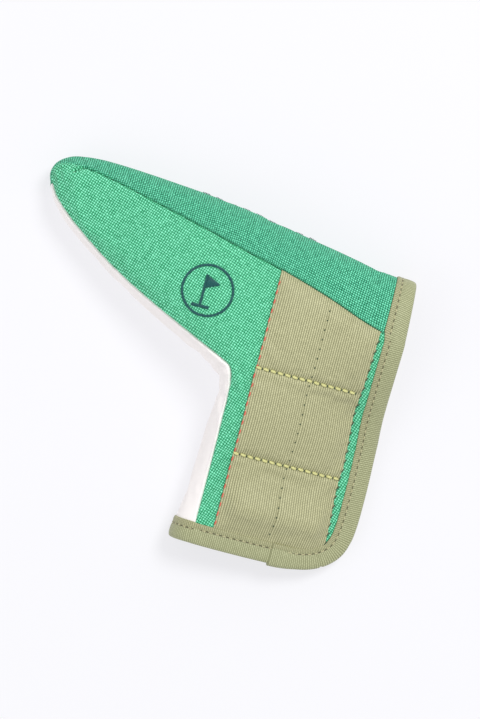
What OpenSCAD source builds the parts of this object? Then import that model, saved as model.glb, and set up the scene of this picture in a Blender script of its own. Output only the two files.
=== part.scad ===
// Padded head cover for a blade putter, lying on its back with the flap closed.
// X runs from the toe to the heel, Y from the shaft opening to the sole, Z up.
// The origin is on the ground, under the middle of the cover.

/* [Overall] */
// length from the toe to the heel edge
cover_len = 173.4; // [150:0.1:190]
// height from the shaft opening to the highest place of the sole
cover_height = 154.4; // [135:0.1:170]
// depth of the arm where it meets the neck
arm_depth = 37; // [30:0.5:42]
// depth at the toe
toe_depth = 24; // [16:0.5:30]
// depth of the mouth at the heel end of the sole
mouth_depth = 27; // [20:0.5:32]
// depth of the neck's left side at the shaft opening
neck_depth = 22; // [14:0.5:28]
// depth of the closed heel edge
closed_depth = 6.2; // [5.6:0.1:12]

/* [Shape] */
// share of the depth that lies below the widest line
mid_share = 0.44; // [0.35:0.01:0.55]
// how wide the sole rolls over at the toe
sole_roll_toe = 12; // [8:0.5:16]
// how wide the sole rolls over at the heel
sole_roll_heel = 27; // [18:0.5:32]
// how wide the topline rolls over
topline_roll = 11; // [7:0.5:14]
// how wide the sides roll under to the back
back_roll = 9; // [6:0.5:12]
// fullness of the front between the neck's side and the heel edge
neck_fullness = 1.5; // [1.2:0.1:3]

/* [Layers] */
// thickness of the outer fabric
fabric_t = 0.9; // [0.6:0.1:1.5]
// thickness of the foam
foam_t = 2; // [1.5:0.1:4]
// thickness of the lining
lining_t = 0.5; // [0.4:0.1:1.2]
// gap between neighbouring layers
layer_gap = 0.25; // [0.1:0.05:0.4]
// gap between neighbouring panels along a seam
seam_gap = 0.3; // [0.1:0.05:0.6]

/* [Edges] */
// width of the binding tape on each side
tape_w = 8.6; // [6:0.1:12]
// thickness of the binding tape
tape_t = 0.75; // [0.5:0.05:1.2]
// distance between binding stitches
tape_pitch = 3.1; // [2:0.1:5]

/* [Webbing] */
// where the webbing's left edge runs
webbing_x0 = 24; // [18:0.5:30]
// width of the left webbing
webbing_w = 24.6; // [20:0.1:30]
// thickness of the webbing
webbing_t = 1.3; // [0.8:0.1:2]
// height of the upper row of tack stitches
tack_y_upper = 6; // [0:1:15]
// height of the lower row of tack stitches
tack_y_lower = -33; // [-45:1:-20]
// distance between tack stitches
tack_pitch = 3.3; // [2.5:0.1:5]
// slant of the tack stitches to their row
tack_angle = -6; // [-60:1:60]

/* [Emblem] */
// middle of the ring
ring_at = [-5, 33]; // [-40:1:60]
// outside radius of the ring
ring_r = 11.8; // [8:0.1:14]
// width of the stitched line
ring_w = 1.4; // [0.8:0.1:2.5]

/* [Flap] */
// radius of a magnet
magnet_r = 6; // [4:0.5:8]
// thickness of a magnet
magnet_t = 1.4; // [1:0.1:2]
// distance from the heel edge to the middle of a magnet
magnet_in = 17; // [16.5:0.5:20]
// height of the upper magnet
magnet_y_upper = -27; // [-35:1:-15]
// height of the lower magnet
magnet_y_lower = -56; // [-60:1:-45]
// gap between the flap and the rest of the front
flap_gap = 0.6; // [0.3:0.1:1]
// height of the flap's hinge line above the front at its heel end
hinge_lift_heel = 3; // [1:0.5:5]
// height of the flap's hinge line above the front at the neck's end
hinge_lift_neck = 2.5; // [1:0.5:5]
// preview of the flap's opening angle
flap_open = 0; // [0:1:70]

/* [Hidden] */

// The pattern is drawn at its reference size and scaled to the overall size.
kx = cover_len / 173.4;
ky = cover_height / 154.4;
centre = [-0.16, 0.13]; // brings the middle of the finished cover onto the origin
function pattern(points) = [for (p = points) centre + [p.x * kx, p.y * ky]];

// Outline of the sole, from the toe junction round the toe to the heel.
sole_line = pattern([
  [-85.3, 60.5], [-86.6, 66], [-85.2, 70.8], [-81, 74.3], [-75.4, 76.2], [-65.4, 77.2],
  [-50.4, 76.8], [-30.4, 75.4], [-10.4, 73.6], [9.6, 71.1], [29.6, 67.6], [49.6, 64.2],
  [67.6, 61.4], [83.4, 59.8]
]);
// Seam between the front and the sole, point by point beside the outline.
front_seam = pattern([
  [-84.7, 61.7], [-85.8, 66], [-84.4, 69.9], [-80.2, 71.8], [-75.2, 72.1], [-65.4, 71.2],
  [-50.4, 68], [-30.4, 63.2], [-10.4, 58.4], [8.6, 53.5], [27.6, 49.1], [47.6, 43.3],
  [66.6, 36.8], [84.4, 32.4]
]);
// Seam between the back and the sole.
back_seam = pattern([
  [-82.7, 62.7], [-83.2, 66], [-82, 68.6], [-78.6, 70.8], [-74.4, 71.2], [-65.4, 70.4],
  [-50.4, 68.2], [-30.4, 66.4], [-10.4, 64.6], [9.6, 62.1], [29.6, 58.6], [49.6, 55.2],
  [67.6, 52.4], [83.9, 50.7]
]);
// Outline of the topline and of the neck's closed side, down to the shaft opening.
top_line = pattern([
  [-85.3, 60.5], [-81.7, 54.6], [-76.4, 48.9], [-68.4, 42.6], [-55.4, 33.7], [-42.4, 25.9],
  [-28.4, 18.4], [-14.4, 11.2], [-3.4, 5.6], [4.1, 1.2], [8.8, -3], [10.5, -9],
  [10.2, -22], [9.8, -38], [8.6, -54], [6.9, -68], [6.3, -76.2]
]);
// Seam between the front and the side gusset.
top_seam = pattern([
  [-84.7, 61.7], [-80.9, 56.2], [-75.4, 50.9], [-67.4, 44.7], [-54.4, 35.9], [-40.9, 28.1],
  [-26.4, 20.9], [-11.9, 14.4], [0.1, 9.1], [8.6, 5.5], [13, 2.8], [14.8, -4],
  [15.3, -20], [15.6, -38], [15.8, -54], [16, -68], [16.2, -76.2]
]);
// Seam between the back and the side gusset.
low_seam = pattern([
  [-82.7, 62.7], [-77.4, 59.2], [-71.4, 54.8], [-63.4, 49], [-50.9, 41.2], [-38.4, 33.8],
  [-24.4, 26.4], [-10.4, 19.4], [1.1, 13.7], [10.1, 9.2], [16.6, 3.7], [19.4, -6],
  [19.2, -22], [18.8, -38], [17.6, -54], [15.8, -68], [15.2, -76.2]
]);
// Edge of the mouth, from the sole down the heel and along the shaft opening.
mouth_edge = pattern([
  [83.4, 59.8], [84, 50.7], [84.5, 32.4], [84.3, 15], [84.4, 0], [85.3, -20], [85.8, -38],
  [85.5, -54], [83.6, -63.5], [79, -69.8], [71.9, -74.1], [63, -76.1], [48, -76.4],
  [30, -76.4], [16.2, -76.2]
]);
turn = 10; // the point of the seams that lies in the crook between arm and neck
edge_turn = 2; // the point of the mouth's edge where the front seam ends

// The ground level of the back panel leaves room for the tape below it.
back_z = tape_t + layer_gap;

// Depths of the layers below the outer surface.
foam_at = fabric_t + layer_gap;
pocket_at = foam_at + foam_t + 0.1;
pocket_t = 0.3;
lining_at = pocket_at + pocket_t + 0.3;

function clamp(t) = max(0, min(1, t));
function mix(a, b, t) = a * (1 - t) + b * t;
function smooth(t) = let (c = clamp(t)) c * c * (3 - 2 * c);
function roll(t) = t >= 1 ? 1 : sqrt(max(0, 1 - (1 - t) * (1 - t)));
function unit(v) = v / norm(v);
function part_of(list, first, last) = [for (i = [first:last]) list[i]];

// A smooth curve through the points, with u from 0 at the first to 1 at the last.
function curve(points, u) =
  let (
    n = len(points) - 1,
    k = min(n - 1, floor(clamp(u) * n)),
    t = clamp(u) * n - k,
    b = points[k],
    c = points[k + 1],
    a = k > 0 ? points[k - 1] : 2 * b - c,
    d = k + 2 <= n ? points[k + 2] : 2 * c - b
  )
  0.5 * (2 * b + (c - a) * t + (2 * a - 5 * b + 4 * c - d) * t * t
    + (3 * b - a - 3 * c + d) * t * t * t);
function curve_side(points, u) =
  let (a = curve(points, u - 0.002), b = curve(points, u + 0.002), t = unit(b - a))
  [t.y, -t.x];
function sampled(points, n) = [for (i = [0:n]) curve(points, i / n)];

function from_segment(p, a, b) =
  let (ab = b - a, t = clamp(((p - a) * ab) / (ab * ab))) norm(p - a - ab * t);
function from_line(p, line) = min([for (i = [0:len(line) - 2]) from_segment(p, line[i], line[i + 1])]);

sole_samples = concat(sampled(sole_line, 39), [[120 * kx, 56.5 * ky]]);
top_samples = concat(sampled(top_line, 48), [[6 * kx, -120 * ky]]);

// How deep the cover is at a place, before its sides roll over.
neck_x0 = 12.6 * kx;
neck_x1 = 84.6 * kx;
function side_depth(p) =
  mix(
    mix(toe_depth, arm_depth, smooth((p.x + 85 * kx) / (98 * kx))),
    neck_depth,
    smooth((10 * ky - p.y) / (87 * ky))
  );
function heel_depth(p) = mix(closed_depth, mouth_depth, smooth((p.y + 24 * ky) / (58 * ky)));
function depth(p) =
  mix(side_depth(p), heel_depth(p), pow(clamp((p.x - neck_x0) / (neck_x1 - neck_x0)), neck_fullness));
function mid_z(p) = max(mid_share * depth(p), back_z);
function sole_roll(p) = mix(sole_roll_toe, sole_roll_heel, clamp((p.x + 80 * kx) / (150 * kx)));

// Heights of the front and of the back.
function rolled_z(p, from_sole, from_top) =
  let (m = mid_z(p))
  m + (depth(p) - m) * roll(from_sole / sole_roll(p)) * roll(from_top / topline_roll);
function under_z(p, d) = back_z + (mid_z(p) - back_z) * (1 - roll(d / back_roll));
function front_z(p) = rolled_z(p, from_line(p, sole_samples), from_line(p, top_samples));
function back_zz(p) = under_z(p, min(from_line(p, sole_samples), from_line(p, top_samples)));

step_d = 0.1;
function front_n(p) =
  unit([
    front_z(p - [step_d, 0]) - front_z(p + [step_d, 0]),
    front_z(p - [0, step_d]) - front_z(p + [0, step_d]),
    2 * step_d
  ]);
function back_n(p) =
  unit([
    back_zz(p + [step_d, 0]) - back_zz(p - [step_d, 0]),
    back_zz(p + [0, step_d]) - back_zz(p - [0, step_d]),
    -2 * step_d
  ]);
function front_at(p, off) = [p.x, p.y, front_z(p)] + off * front_n(p);
function back_at(p, off) = [p.x, p.y, back_zz(p)] + off * back_n(p);

// A gusset's surface: u along it, t from the front seam (0) over the outline (1) to the back (2).
function gusset_xy(front, outline, back, u, t) =
  t <= 1
    ? mix(curve(front, u), curve(outline, u), 1 - (1 - t) * (1 - t))
    : mix(curve(outline, u), curve(back, u), (t - 1) * (t - 1));
// Beside its own outline the distance is counted from the seam, so that it ends at exactly 0.
function gusset_p(front, outline, back, u, t, side) =
  let (
    p = gusset_xy(front, outline, back, u, t),
    own_line = side > 0 ? sole_samples : top_samples,
    other = from_line(p, side > 0 ? top_samples : sole_samples),
    own = from_line(curve(t <= 1 ? front : back, u), own_line) * (1 - t) * (1 - t)
  )
  [
    p.x,
    p.y,
    t > 1 ? under_z(p, min(own, other)) : side > 0 ? rolled_z(p, own, other) : rolled_z(p, other, own)
  ];
function gusset_at(front, outline, back, u, t, off, side) =
  let (
    f = function (du, dt) gusset_p(front, outline, back, u + du, t + dt, side),
    p = f(0, 0),
    du = f(0.003, 0) - f(-0.003, 0),
    dt = f(0, 0.01) - f(0, -0.01)
  )
  p + off * side * unit(cross(du, dt));

// A closed solid between two grids of points, each a list of rows.
module slab(outer, inner, flip = false) {
  ni = len(outer) - 1;
  nj = len(outer[0]) - 1;
  m = (ni + 1) * (nj + 1);
  points = concat([for (r = outer) each r], [for (r = inner) each r]);
  function at(k, i, j) = k * m + i * (nj + 1) + j;
  quads = concat(
    [for (i = [0:ni - 1], j = [0:nj - 1])
      [at(0, i, j), at(0, i, j + 1), at(0, i + 1, j + 1), at(0, i + 1, j)]],
    [for (i = [0:ni - 1], j = [0:nj - 1])
      [at(1, i + 1, j), at(1, i + 1, j + 1), at(1, i, j + 1), at(1, i, j)]],
    [for (j = [0:nj - 1]) [at(0, 0, j + 1), at(0, 0, j), at(1, 0, j), at(1, 0, j + 1)]],
    [for (j = [0:nj - 1]) [at(0, ni, j), at(0, ni, j + 1), at(1, ni, j + 1), at(1, ni, j)]],
    [for (i = [0:ni - 1]) [at(0, i + 1, nj), at(0, i, nj), at(1, i, nj), at(1, i + 1, nj)]],
    [for (i = [0:ni - 1]) [at(0, i, 0), at(0, i + 1, 0), at(1, i + 1, 0), at(1, i, 0)]]
  );
  faces = [for (q = quads) each [[q[0], q[1], q[2]], [q[0], q[2], q[3]]]];
  polyhedron(points, flip ? [for (f = faces) [f[2], f[1], f[0]]] : faces);
}

// The columns of a panel. The last two lie under the tape if the panel ends at the mouth's edge.
function column(t, length, to_edge) =
  to_edge && length > 2.2 * tape_w
    ? let (k = 1.05 * tape_w / length) t < 0.75 ? t / 0.75 * (1 - k) : 1 - k * (1 - t) / 0.25
    : t;

// A panel between two lines of points, on the front or on the back.
module panel(line_a, line_b, n, from, to, back = false, flip = false, to_edge = false) {
  rows = [for (i = [0:len(line_a) - 1])
    let (length = norm(line_b[i] - line_a[i]))
      [for (j = [0:n]) mix(line_a[i], line_b[i], column(j / n, length, to_edge))]];
  function place(p, off) = back ? back_at(p, -off) : front_at(p, -off);
  slab(
    [for (r = rows) [for (p = r) place(p, from(p))]],
    [for (r = rows) [for (p = r) place(p, to(p))]],
    flip
  );
}

module gusset(front, outline, back, u0, u1, nu, t0, t1, nt, from, to, side, flip) {
  us = [for (i = [0:nu]) mix(u0, u1, i / nu)];
  ts = [for (j = [0:nt]) mix(t0, t1, j / nt)];
  function place(u, t, f) =
    gusset_at(front, outline, back, u, t, -f(gusset_xy(front, outline, back, u, t)), side);
  slab(
    [for (u = us) [for (t = ts) place(u, t, from)]],
    [for (u = us) [for (t = ts) place(u, t, to)]],
    flip
  );
}

// The hinge line of the flap, in plan, from the heel edge to the neck's closed side.
hinge_a = [76 * kx, 33 * ky];
hinge_b = [16.9 * kx, -68 * ky];
hinge_dir = unit(hinge_b - hinge_a);
hinge_side = [-hinge_dir.y, hinge_dir.x];
hinge_za = front_z(hinge_a - [1, 3]) + hinge_lift_heel;
hinge_zb = front_z(hinge_b + [1, 1]) + hinge_lift_neck;
function on_hinge(u, off = 0) = mix(hinge_a, hinge_b, u) + off * hinge_side;
function hinge_y(x) = hinge_a.y + (x - hinge_a.x) * (hinge_b.y - hinge_a.y) / (hinge_b.x - hinge_a.x);
function is_flap(p) = (p - hinge_a) * hinge_side > 0;

// Lines that bound the panels.
arm_n = 15;
neck_n = 11;
half_seam = seam_gap / 2;
function inset(points, u, off) = curve(points, u) + off * curve_side(points, u);
arm_us = [for (i = [0:arm_n]) mix(0.01, 1, i / arm_n)];
inner_us = [for (i = [0:arm_n]) mix(0.075, 1, i / arm_n)];
neck_us = [for (i = [1:neck_n]) i / neck_n];
neck_stop = 0.825; // where the hinge line meets the neck's seam
seam_stop = 0.963; // where the hinge line meets the front seam
top_arm = part_of(top_seam, 0, turn);
top_neck = part_of(top_seam, turn, len(top_seam) - 1);
low_arm = part_of(low_seam, 0, turn);
low_neck = part_of(low_seam, turn, len(low_seam) - 1);
front_line_a = concat(
  [for (u = arm_us) inset(top_arm, u, -half_seam)],
  [for (u = neck_us) inset(top_neck, u * neck_stop, -half_seam)]
);
front_line_b = concat(
  [for (u = arm_us) inset(front_seam, u * seam_stop, half_seam)],
  [for (u = neck_us) on_hinge(0.985 * u, -flap_gap / 2)]
);
foam_line_b = concat(
  [for (u = inner_us) inset(front_seam, u * 0.94, half_seam)],
  [for (u = neck_us) on_hinge(mix(0.06, 0.95, u), -flap_gap / 2)]
);
foam_line_a = concat(
  [for (u = inner_us) inset(top_arm, u, -half_seam)],
  [for (u = neck_us) inset(top_neck, u * 0.79, -half_seam)]
);
flap_edge = part_of(mouth_edge, edge_turn, len(mouth_edge) - 1);
flap_us = [for (i = [0:38]) i / 38];
flap_line_a = [for (u = flap_us) on_hinge(u, flap_gap / 2)];
flap_line_b = [for (u = flap_us) curve(flap_edge, mix(0.003, 0.993, u))];
flap_foam_us = [for (i = [0:26]) i / 26];
flap_foam_a = [for (u = flap_foam_us) on_hinge(mix(0.06, 0.97, u), flap_gap / 2)];
flap_foam_b = [for (u = flap_foam_us) inset(flap_edge, mix(0.035, 0.975, u), tape_w + 1.6)];
back_edge = part_of(mouth_edge, 1, 11);
back_line_a = concat(
  [for (u = arm_us) inset(low_arm, u, -half_seam)],
  [for (u = neck_us) inset(low_neck, u, -half_seam)]
);
back_line_b = concat(
  [for (u = arm_us) inset(back_seam, u, half_seam)],
  [for (u = neck_us) curve(back_edge, u)]
);
back_foam_a = concat(
  [for (u = inner_us) inset(low_arm, u, -half_seam)],
  [for (u = neck_us) inset(low_neck, u * 0.8, -half_seam)]
);
back_foam_b = concat(
  [for (u = inner_us) inset(back_seam, u * 0.94, half_seam)],
  [for (u = neck_us) inset(back_edge, u, tape_w + 1.6)]
);

fabric_from = function (p) 0;
fabric_to = function (p) fabric_t;
foam_from = function (p) foam_at;
foam_to = function (p) foam_at + foam_t;
lining_from = function (p) lining_at;
lining_to = function (p) lining_at + lining_t;

module front_panel() {
  color("#67c89b")
    panel(front_line_a, front_line_b, 7, fabric_from, fabric_to);
}
module front_foam() {
  color("#e6e2d2")
    panel(foam_line_a, foam_line_b, 6, foam_from, foam_to);
}
module front_lining() {
  color("#b9b6ae")
    panel(foam_line_a, foam_line_b, 6, lining_from, lining_to);
}

module sole_layer(from, to, u0 = 0.075, u1 = 0.945) {
  gusset(front_seam, sole_line, back_seam, u0, u1, 22, 0.01, 1.97, 13, from, to, 1, false);
}
module sole_gusset() {
  color("#62b793")
    sole_layer(fabric_from, fabric_to, 0.012, 1);
}
module sole_foam() {
  color("#e6e2d2")
    sole_layer(foam_from, foam_to);
}
module sole_lining() {
  color("#b9b6ae")
    sole_layer(lining_from, lining_to);
}

module topline_layer(from, to, u0 = 0.06, u1 = 0.93) {
  gusset(top_seam, top_line, low_seam, u0, u1, 26, 0.02, 1.97, 8, from, to, -1, true);
}
module topline_gusset() {
  color("#f4f0ee")
    topline_layer(fabric_from, fabric_to, 0.012, 1);
}
module topline_foam() {
  color("#e6e2d2")
    topline_layer(foam_from, foam_to);
}
module topline_lining() {
  color("#b9b6ae")
    topline_layer(lining_from, lining_to);
}

module back_panel() {
  color("#67c89b")
    panel(back_line_a, back_line_b, 8, fabric_from, fabric_to, true, true);
}
module back_foam() {
  color("#e6e2d2")
    difference() {
      panel(back_foam_a, back_foam_b, 6, foam_from, foam_to, true, true);
      for (y = [magnet_y_upper, magnet_y_lower])
        at_magnet(y, true)
          cylinder(h = 12, r = magnet_r + 0.5, center = true, $fn = 12);
    }
}
module back_lining() {
  color("#b9b6ae")
    panel(back_foam_a, back_foam_b, 6, lining_from, lining_to, true, true);
}

module flap_panel() {
  color("#67c89b")
    panel(flap_line_a, flap_line_b, 8, fabric_from, fabric_to, false, false, true);
}
module flap_foam() {
  color("#e6e2d2")
    difference() {
      panel(flap_foam_a, flap_foam_b, 7, foam_from, foam_to);
      for (y = [magnet_y_upper, magnet_y_lower])
        at_magnet(y, false)
          cylinder(h = 12, r = magnet_r + 0.5, center = true, $fn = 12);
    }
}
module flap_lining() {
  color("#b9b6ae")
    panel(flap_foam_a, flap_foam_b, 7, lining_from, lining_to);
}

// A magnet's place: the middle of its thickness, with its axis square to the fabric.
function magnet_xy(y) = [86 * kx - magnet_in, y * ky];
module at_magnet(y, back) {
  p = magnet_xy(y);
  n = back ? back_n(p) : front_n(p);
  c = back ? back_at(p, -foam_at - foam_t / 2) : front_at(p, -foam_at - foam_t / 2);
  a = unit(cross([0, 1, 0], n));
  b = cross(n, a);
  multmatrix([
    [a.x, b.x, n.x, c.x],
    [a.y, b.y, n.y, c.y],
    [a.z, b.z, n.z, c.z],
    [0, 0, 0, 1]
  ])
    children();
}
module magnet(y, back) {
  color("#9a9ca0")
    at_magnet(y, back)
      cylinder(h = magnet_t, r = magnet_r, center = true, $fn = 48);
}
module pocket(y, back) {
  p = magnet_xy(y);
  h = magnet_r + 0.7;
  xs = [for (i = [-2:2]) p.x + h * i / 2];
  color("#d9d6cc")
    panel(
      [for (x = xs) [x, p.y - h]],
      [for (x = xs) [x, p.y + h]],
      4,
      function (q) pocket_at,
      function (q) pocket_at + pocket_t,
      back,
      back
    );
}
module back_magnet_upper() {
  magnet(magnet_y_upper, true);
}
module back_magnet_lower() {
  magnet(magnet_y_lower, true);
}
module back_pocket_upper() {
  pocket(magnet_y_upper, true);
}
module back_pocket_lower() {
  pocket(magnet_y_lower, true);
}
module flap_magnet_upper() {
  magnet(magnet_y_upper, false);
}
module flap_magnet_lower() {
  magnet(magnet_y_lower, false);
}
module flap_pocket_upper() {
  pocket(magnet_y_upper, false);
}
module flap_pocket_lower() {
  pocket(magnet_y_lower, false);
}

// Webbing: two tapes side by side, held by the seam above and by the tape below.
webbing_mid = webbing_x0 + webbing_w;
webbing_right_x = [73.2, 72.2, 73.4, 75.2];
function right_x(y) = curve([for (i = [0:3]) [webbing_right_x[i], 0]], clamp((34 - y) / 100)).x;
function seam_y(x) =
  let (
    hits = [for (i = [3:len(front_seam) - 2])
      let (a = front_seam[i], b = front_seam[i + 1])
      if (a.x <= x && x < b.x) mix(a.y, b.y, (x - a.x) / (b.x - a.x))]
  )
  hits[0];
webbing_low_y = -76.4 * ky + tape_w + 0.9;
function low_y(x) = webbing_low_y + (x > 64 ? pow((x - 64) / 10, 2) * 6.5 : 0);
web_gap = 0.15;
module web(x0, x1, upper) {
  n = 5;
  xs0 = [for (i = [0:n]) mix(x0, x1 == undef ? right_x(-60) : x1, i / n)];
  function top_x(i) = mix(x0, x1 == undef ? right_x(upper ? 34 : -20) : x1, i / n);
  function low_x(i) = mix(x0, x1 == undef ? right_x(upper ? 0 : -64) : x1, i / n);
  function mid_x(i) = (top_x(i) + low_x(i)) / 2;
  a = upper
    ? [for (i = [0:n]) [mid_x(i), hinge_y(mid_x(i)) + flap_gap]]
    : [for (i = [0:n]) [low_x(i), low_y(low_x(i))]];
  b = upper
    ? [for (i = [0:n]) [top_x(i), seam_y(top_x(i)) - 0.6]]
    : [for (i = [0:n]) [mid_x(i), hinge_y(mid_x(i)) - flap_gap]];
  color("#b8b78e")
    panel(a, b, 13, function (p) -layer_gap - webbing_t, function (p) -layer_gap);
}
module webbing_left() {
  web(webbing_x0, webbing_mid - web_gap, true);
}
module webbing_right() {
  web(webbing_mid + web_gap, undef, true);
}
module flap_webbing_left() {
  web(webbing_x0, webbing_mid - web_gap, false);
}
module flap_webbing_right() {
  web(webbing_mid + web_gap, undef, false);
}

// One stitch: a short bar lying on the front, at an angle, above the surface by off.
module stitch(p, angle, length, width, thick, off) {
  n = front_n(p);
  d = [cos(angle), sin(angle), 0];
  a = unit(d - (d * n) * n);
  b = cross(n, a);
  c = front_at(p, off + thick / 2);
  multmatrix([
    [a.x, b.x, n.x, c.x],
    [a.y, b.y, n.y, c.y],
    [a.z, b.z, n.z, c.z],
    [0, 0, 0, 1]
  ])
    cube([length, width, thick], center = true);
}
web_top = layer_gap + webbing_t + 0.35;
function clear_of_hinge(p) = abs((p - hinge_a) * hinge_side) > 2;
function clear_of_tacks(p) = min(abs(p.y - tack_y_upper), abs(p.y - tack_y_lower)) > 1.6;
module tack_row(y, flap) {
  n = floor((right_x(y) - 1 - webbing_x0 - 1) / tack_pitch);
  for (i = [0:n]) {
    p = [webbing_x0 + 1.6 + i * tack_pitch, y];
    if (is_flap(p) == flap && clear_of_hinge(p) && abs(p.x - webbing_mid) > 1)
      stitch(p, tack_angle, 2.3, 0.8, 0.5, web_top);
  }
}
module tacks(flap) {
  color("#c8c67d") {
    tack_row(tack_y_upper, flap);
    tack_row(tack_y_lower, flap);
  }
}
module tack_stitches() {
  tacks(false);
}
module flap_tack_stitches() {
  tacks(true);
}
module edge_row(right, flap) {
  for (y = [-62:4.25:48]) {
    x = right ? right_x(y) - 0.9 : webbing_mid - 1;
    p = [x, y];
    if (is_flap(p) == flap && clear_of_hinge(p) && clear_of_tacks(p) && y < seam_y(x) - 2)
      stitch(p, 90, 1.6, 0.5, 0.4, web_top);
  }
}
module edge_stitches() {
  color("#4b5640") {
    edge_row(true, false);
    edge_row(false, false);
  }
}
module flap_edge_stitches() {
  color("#4b5640") {
    edge_row(true, true);
    edge_row(false, true);
  }
}
module yarn_row(flap) {
  color("#e16955")
    for (y = [-65:4.2:47]) {
      p = [webbing_x0 + 0.8, y];
      if (is_flap(p) == flap && clear_of_hinge(p) && clear_of_tacks(p))
        stitch(p, 90, 2.2, 0.7, 0.4, web_top);
    }
}
module edge_yarn() {
  yarn_row(false);
}
module flap_edge_yarn() {
  yarn_row(true);
}

// Tape folded over the mouth's edge. Its cross-section is drawn as [inward, outward] and laid on
// the surface f(inward, outward) of the panel that it binds.
stack_t = fabric_t;
tape_out = layer_gap + tape_t;
tape_low = -stack_t - tape_out;
tape_section = [
  [tape_w, tape_out], [tape_w / 2, tape_out], [0, tape_out], [-0.75, tape_out - 0.5],
  [-0.95, -stack_t / 2], [-0.75, tape_low + 0.5], [0, tape_low], [tape_w / 2, tape_low],
  [tape_w, tape_low], [tape_w, -stack_t - layer_gap], [tape_w / 2, -stack_t - layer_gap],
  [-0.1, -stack_t - layer_gap], [-0.35, -stack_t / 2], [-0.1, layer_gap],
  [tape_w / 2, layer_gap], [tape_w, layer_gap]
];
tape_cap = [
  [0, 1, 15], [1, 14, 15], [1, 2, 14], [2, 13, 14], [2, 3, 13], [3, 12, 13], [3, 4, 12],
  [4, 5, 12], [5, 11, 12], [5, 6, 11], [6, 10, 11], [6, 7, 10], [7, 9, 10], [7, 8, 9]
];
function section(f) =
  [for (q = tape_section) q.x >= 0 ? f(q.x, q.y) : f(0, q.y) + (f(1, 0) - f(0, 0)) * q.x];
module tape(sections) {
  n = len(sections);
  m = len(tape_section);
  sides = [for (i = [0:n - 2], j = [0:m - 1])
    [i * m + j, i * m + (j + 1) % m, (i + 1) * m + (j + 1) % m, (i + 1) * m + j]];
  caps = [for (k = [0, n - 1]) for (t = tape_cap)
    k == 0 ? [t[2], t[1], t[0]] : [k * m + t[0], k * m + t[1], k * m + t[2]]];
  faces = [for (q = sides) each [[q[0], q[1], q[2]], [q[0], q[2], q[3]]]];
  polyhedron([for (s = sections) each s], concat(faces, caps));
}
back_whole = part_of(mouth_edge, 1, len(mouth_edge) - 1);
function front_edge(u) = function (q, off) front_at(inset(flap_edge, u, q), off);
function back_rim(u) = function (q, off) back_at(inset(back_whole, u, q), off);
function sole_end(t) = function (q, off)
  gusset_at(front_seam, sole_line, back_seam, 0.9995 - q * 0.0048, t, off, 1);
function neck_end(t) = function (q, off)
  gusset_at(top_seam, top_line, low_seam, 0.9995 - q * 0.0076, t, off, -1);
flap_tape_u0 = 0.003;
flap_tape_u1 = 0.993;
module flap_binding() {
  color("#a9ab83")
    tape([for (i = [0:34]) section(front_edge(mix(flap_tape_u0, flap_tape_u1, i / 34)))]);
}
module edge_binding() {
  color("#a9ab83")
    tape(concat(
      [for (i = [0:12]) section(neck_end(mix(0.01, 1.9, i / 12)))],
      [for (i = [0:30]) section(back_rim(mix(0.985, 0.01, i / 30)))],
      [for (i = [0:12]) section(sole_end(mix(1.9, 0.02, i / 12)))]
    ));
}
// A short stitch across the tape's face, square to the edge.
module tape_stitch(f) {
  q = tape_w - 2.5;
  c = f(q, tape_out + 0.3);
  n = unit(f(q, 1) - f(q, 0));
  a = unit(f(q + 0.5, 0) - f(q - 0.5, 0));
  b = cross(n, a);
  multmatrix([
    [b.x, a.x, n.x, c.x],
    [b.y, a.y, n.y, c.y],
    [b.z, a.z, n.z, c.z],
    [0, 0, 0, 1]
  ])
    cube([1.3, 0.5, 0.3], center = true);
}
module flap_binding_stitches() {
  n = floor(125 / tape_pitch);
  color("#8f9170")
    for (i = [0:n])
      tape_stitch(front_edge(mix(0.02, 0.985, i / n)));
}
module binding_stitches() {
  color("#8f9170") {
    for (t = [0.15:0.14:1.3])
      tape_stitch(sole_end(t));
    for (t = [0.2:0.2:1.3])
      tape_stitch(neck_end(t));
  }
}

// Emblem: a plain stitched ring with a golf flag inside.
thread_t = 0.6;
module thread_patch(a, b, n, flip = false) {
  panel(a, b, n, function (p) -layer_gap - thread_t, function (p) -layer_gap, false, flip);
}
module emblem_embroidery() {
  color("#37647a") {
    for (half = [0, 1]) {
      angles = [for (i = [0:14]) 180 * half + 0.4 + 179.2 * i / 14];
      thread_patch(
        [for (a = angles) ring_at + (ring_r - ring_w) * [cos(a), sin(a)]],
        [for (a = angles) ring_at + ring_r * [cos(a), sin(a)]],
        1,
        true
      );
    }
    pole = ring_at + [-2.2, -6.4];
    thread_patch([pole, pole + [1.1, 0]], [pole + [0, 13], pole + [1.1, 13]], 4);
    thread_patch(
      [pole + [1.3, 7.2], pole + [6.6, 9.6]],
      [pole + [1.3, 12.8], pole + [6.6, 10.4]],
      1
    );
    thread_patch([pole + [-3.2, -1.6], pole + [4.6, -1.6]], [pole + [-3.2, -0.3], pole + [4.6, -0.3]], 1);
  }
}

// Sole embroidery: a row of plain bars.
module sole_embroidery() {
  color("#37647a")
    for (i = [0:8]) {
      u = 0.585 + i * 0.0245;
      gusset(
        front_seam, sole_line, back_seam, u, u + 0.011, 1, 0.96, 1.36, 4,
        function (p) -layer_gap - thread_t, function (p) -layer_gap, 1, false
      );
    }
}

front_panel();
front_foam();
front_lining();
sole_gusset();
sole_foam();
sole_lining();
topline_gusset();
topline_foam();
topline_lining();
back_panel();
back_foam();
back_lining();
webbing_left();
webbing_right();
tack_stitches();
edge_stitches();
edge_yarn();
edge_binding();
binding_stitches();
emblem_embroidery();
sole_embroidery();
back_magnet_upper();
back_magnet_lower();
back_pocket_upper();
back_pocket_lower();
flap_panel();
flap_foam();
flap_lining();
flap_webbing_left();
flap_webbing_right();
flap_tack_stitches();
flap_edge_stitches();
flap_edge_yarn();
flap_binding();
flap_binding_stitches();
flap_magnet_upper();
flap_magnet_lower();
flap_pocket_upper();
flap_pocket_lower();
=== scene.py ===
import math

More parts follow.
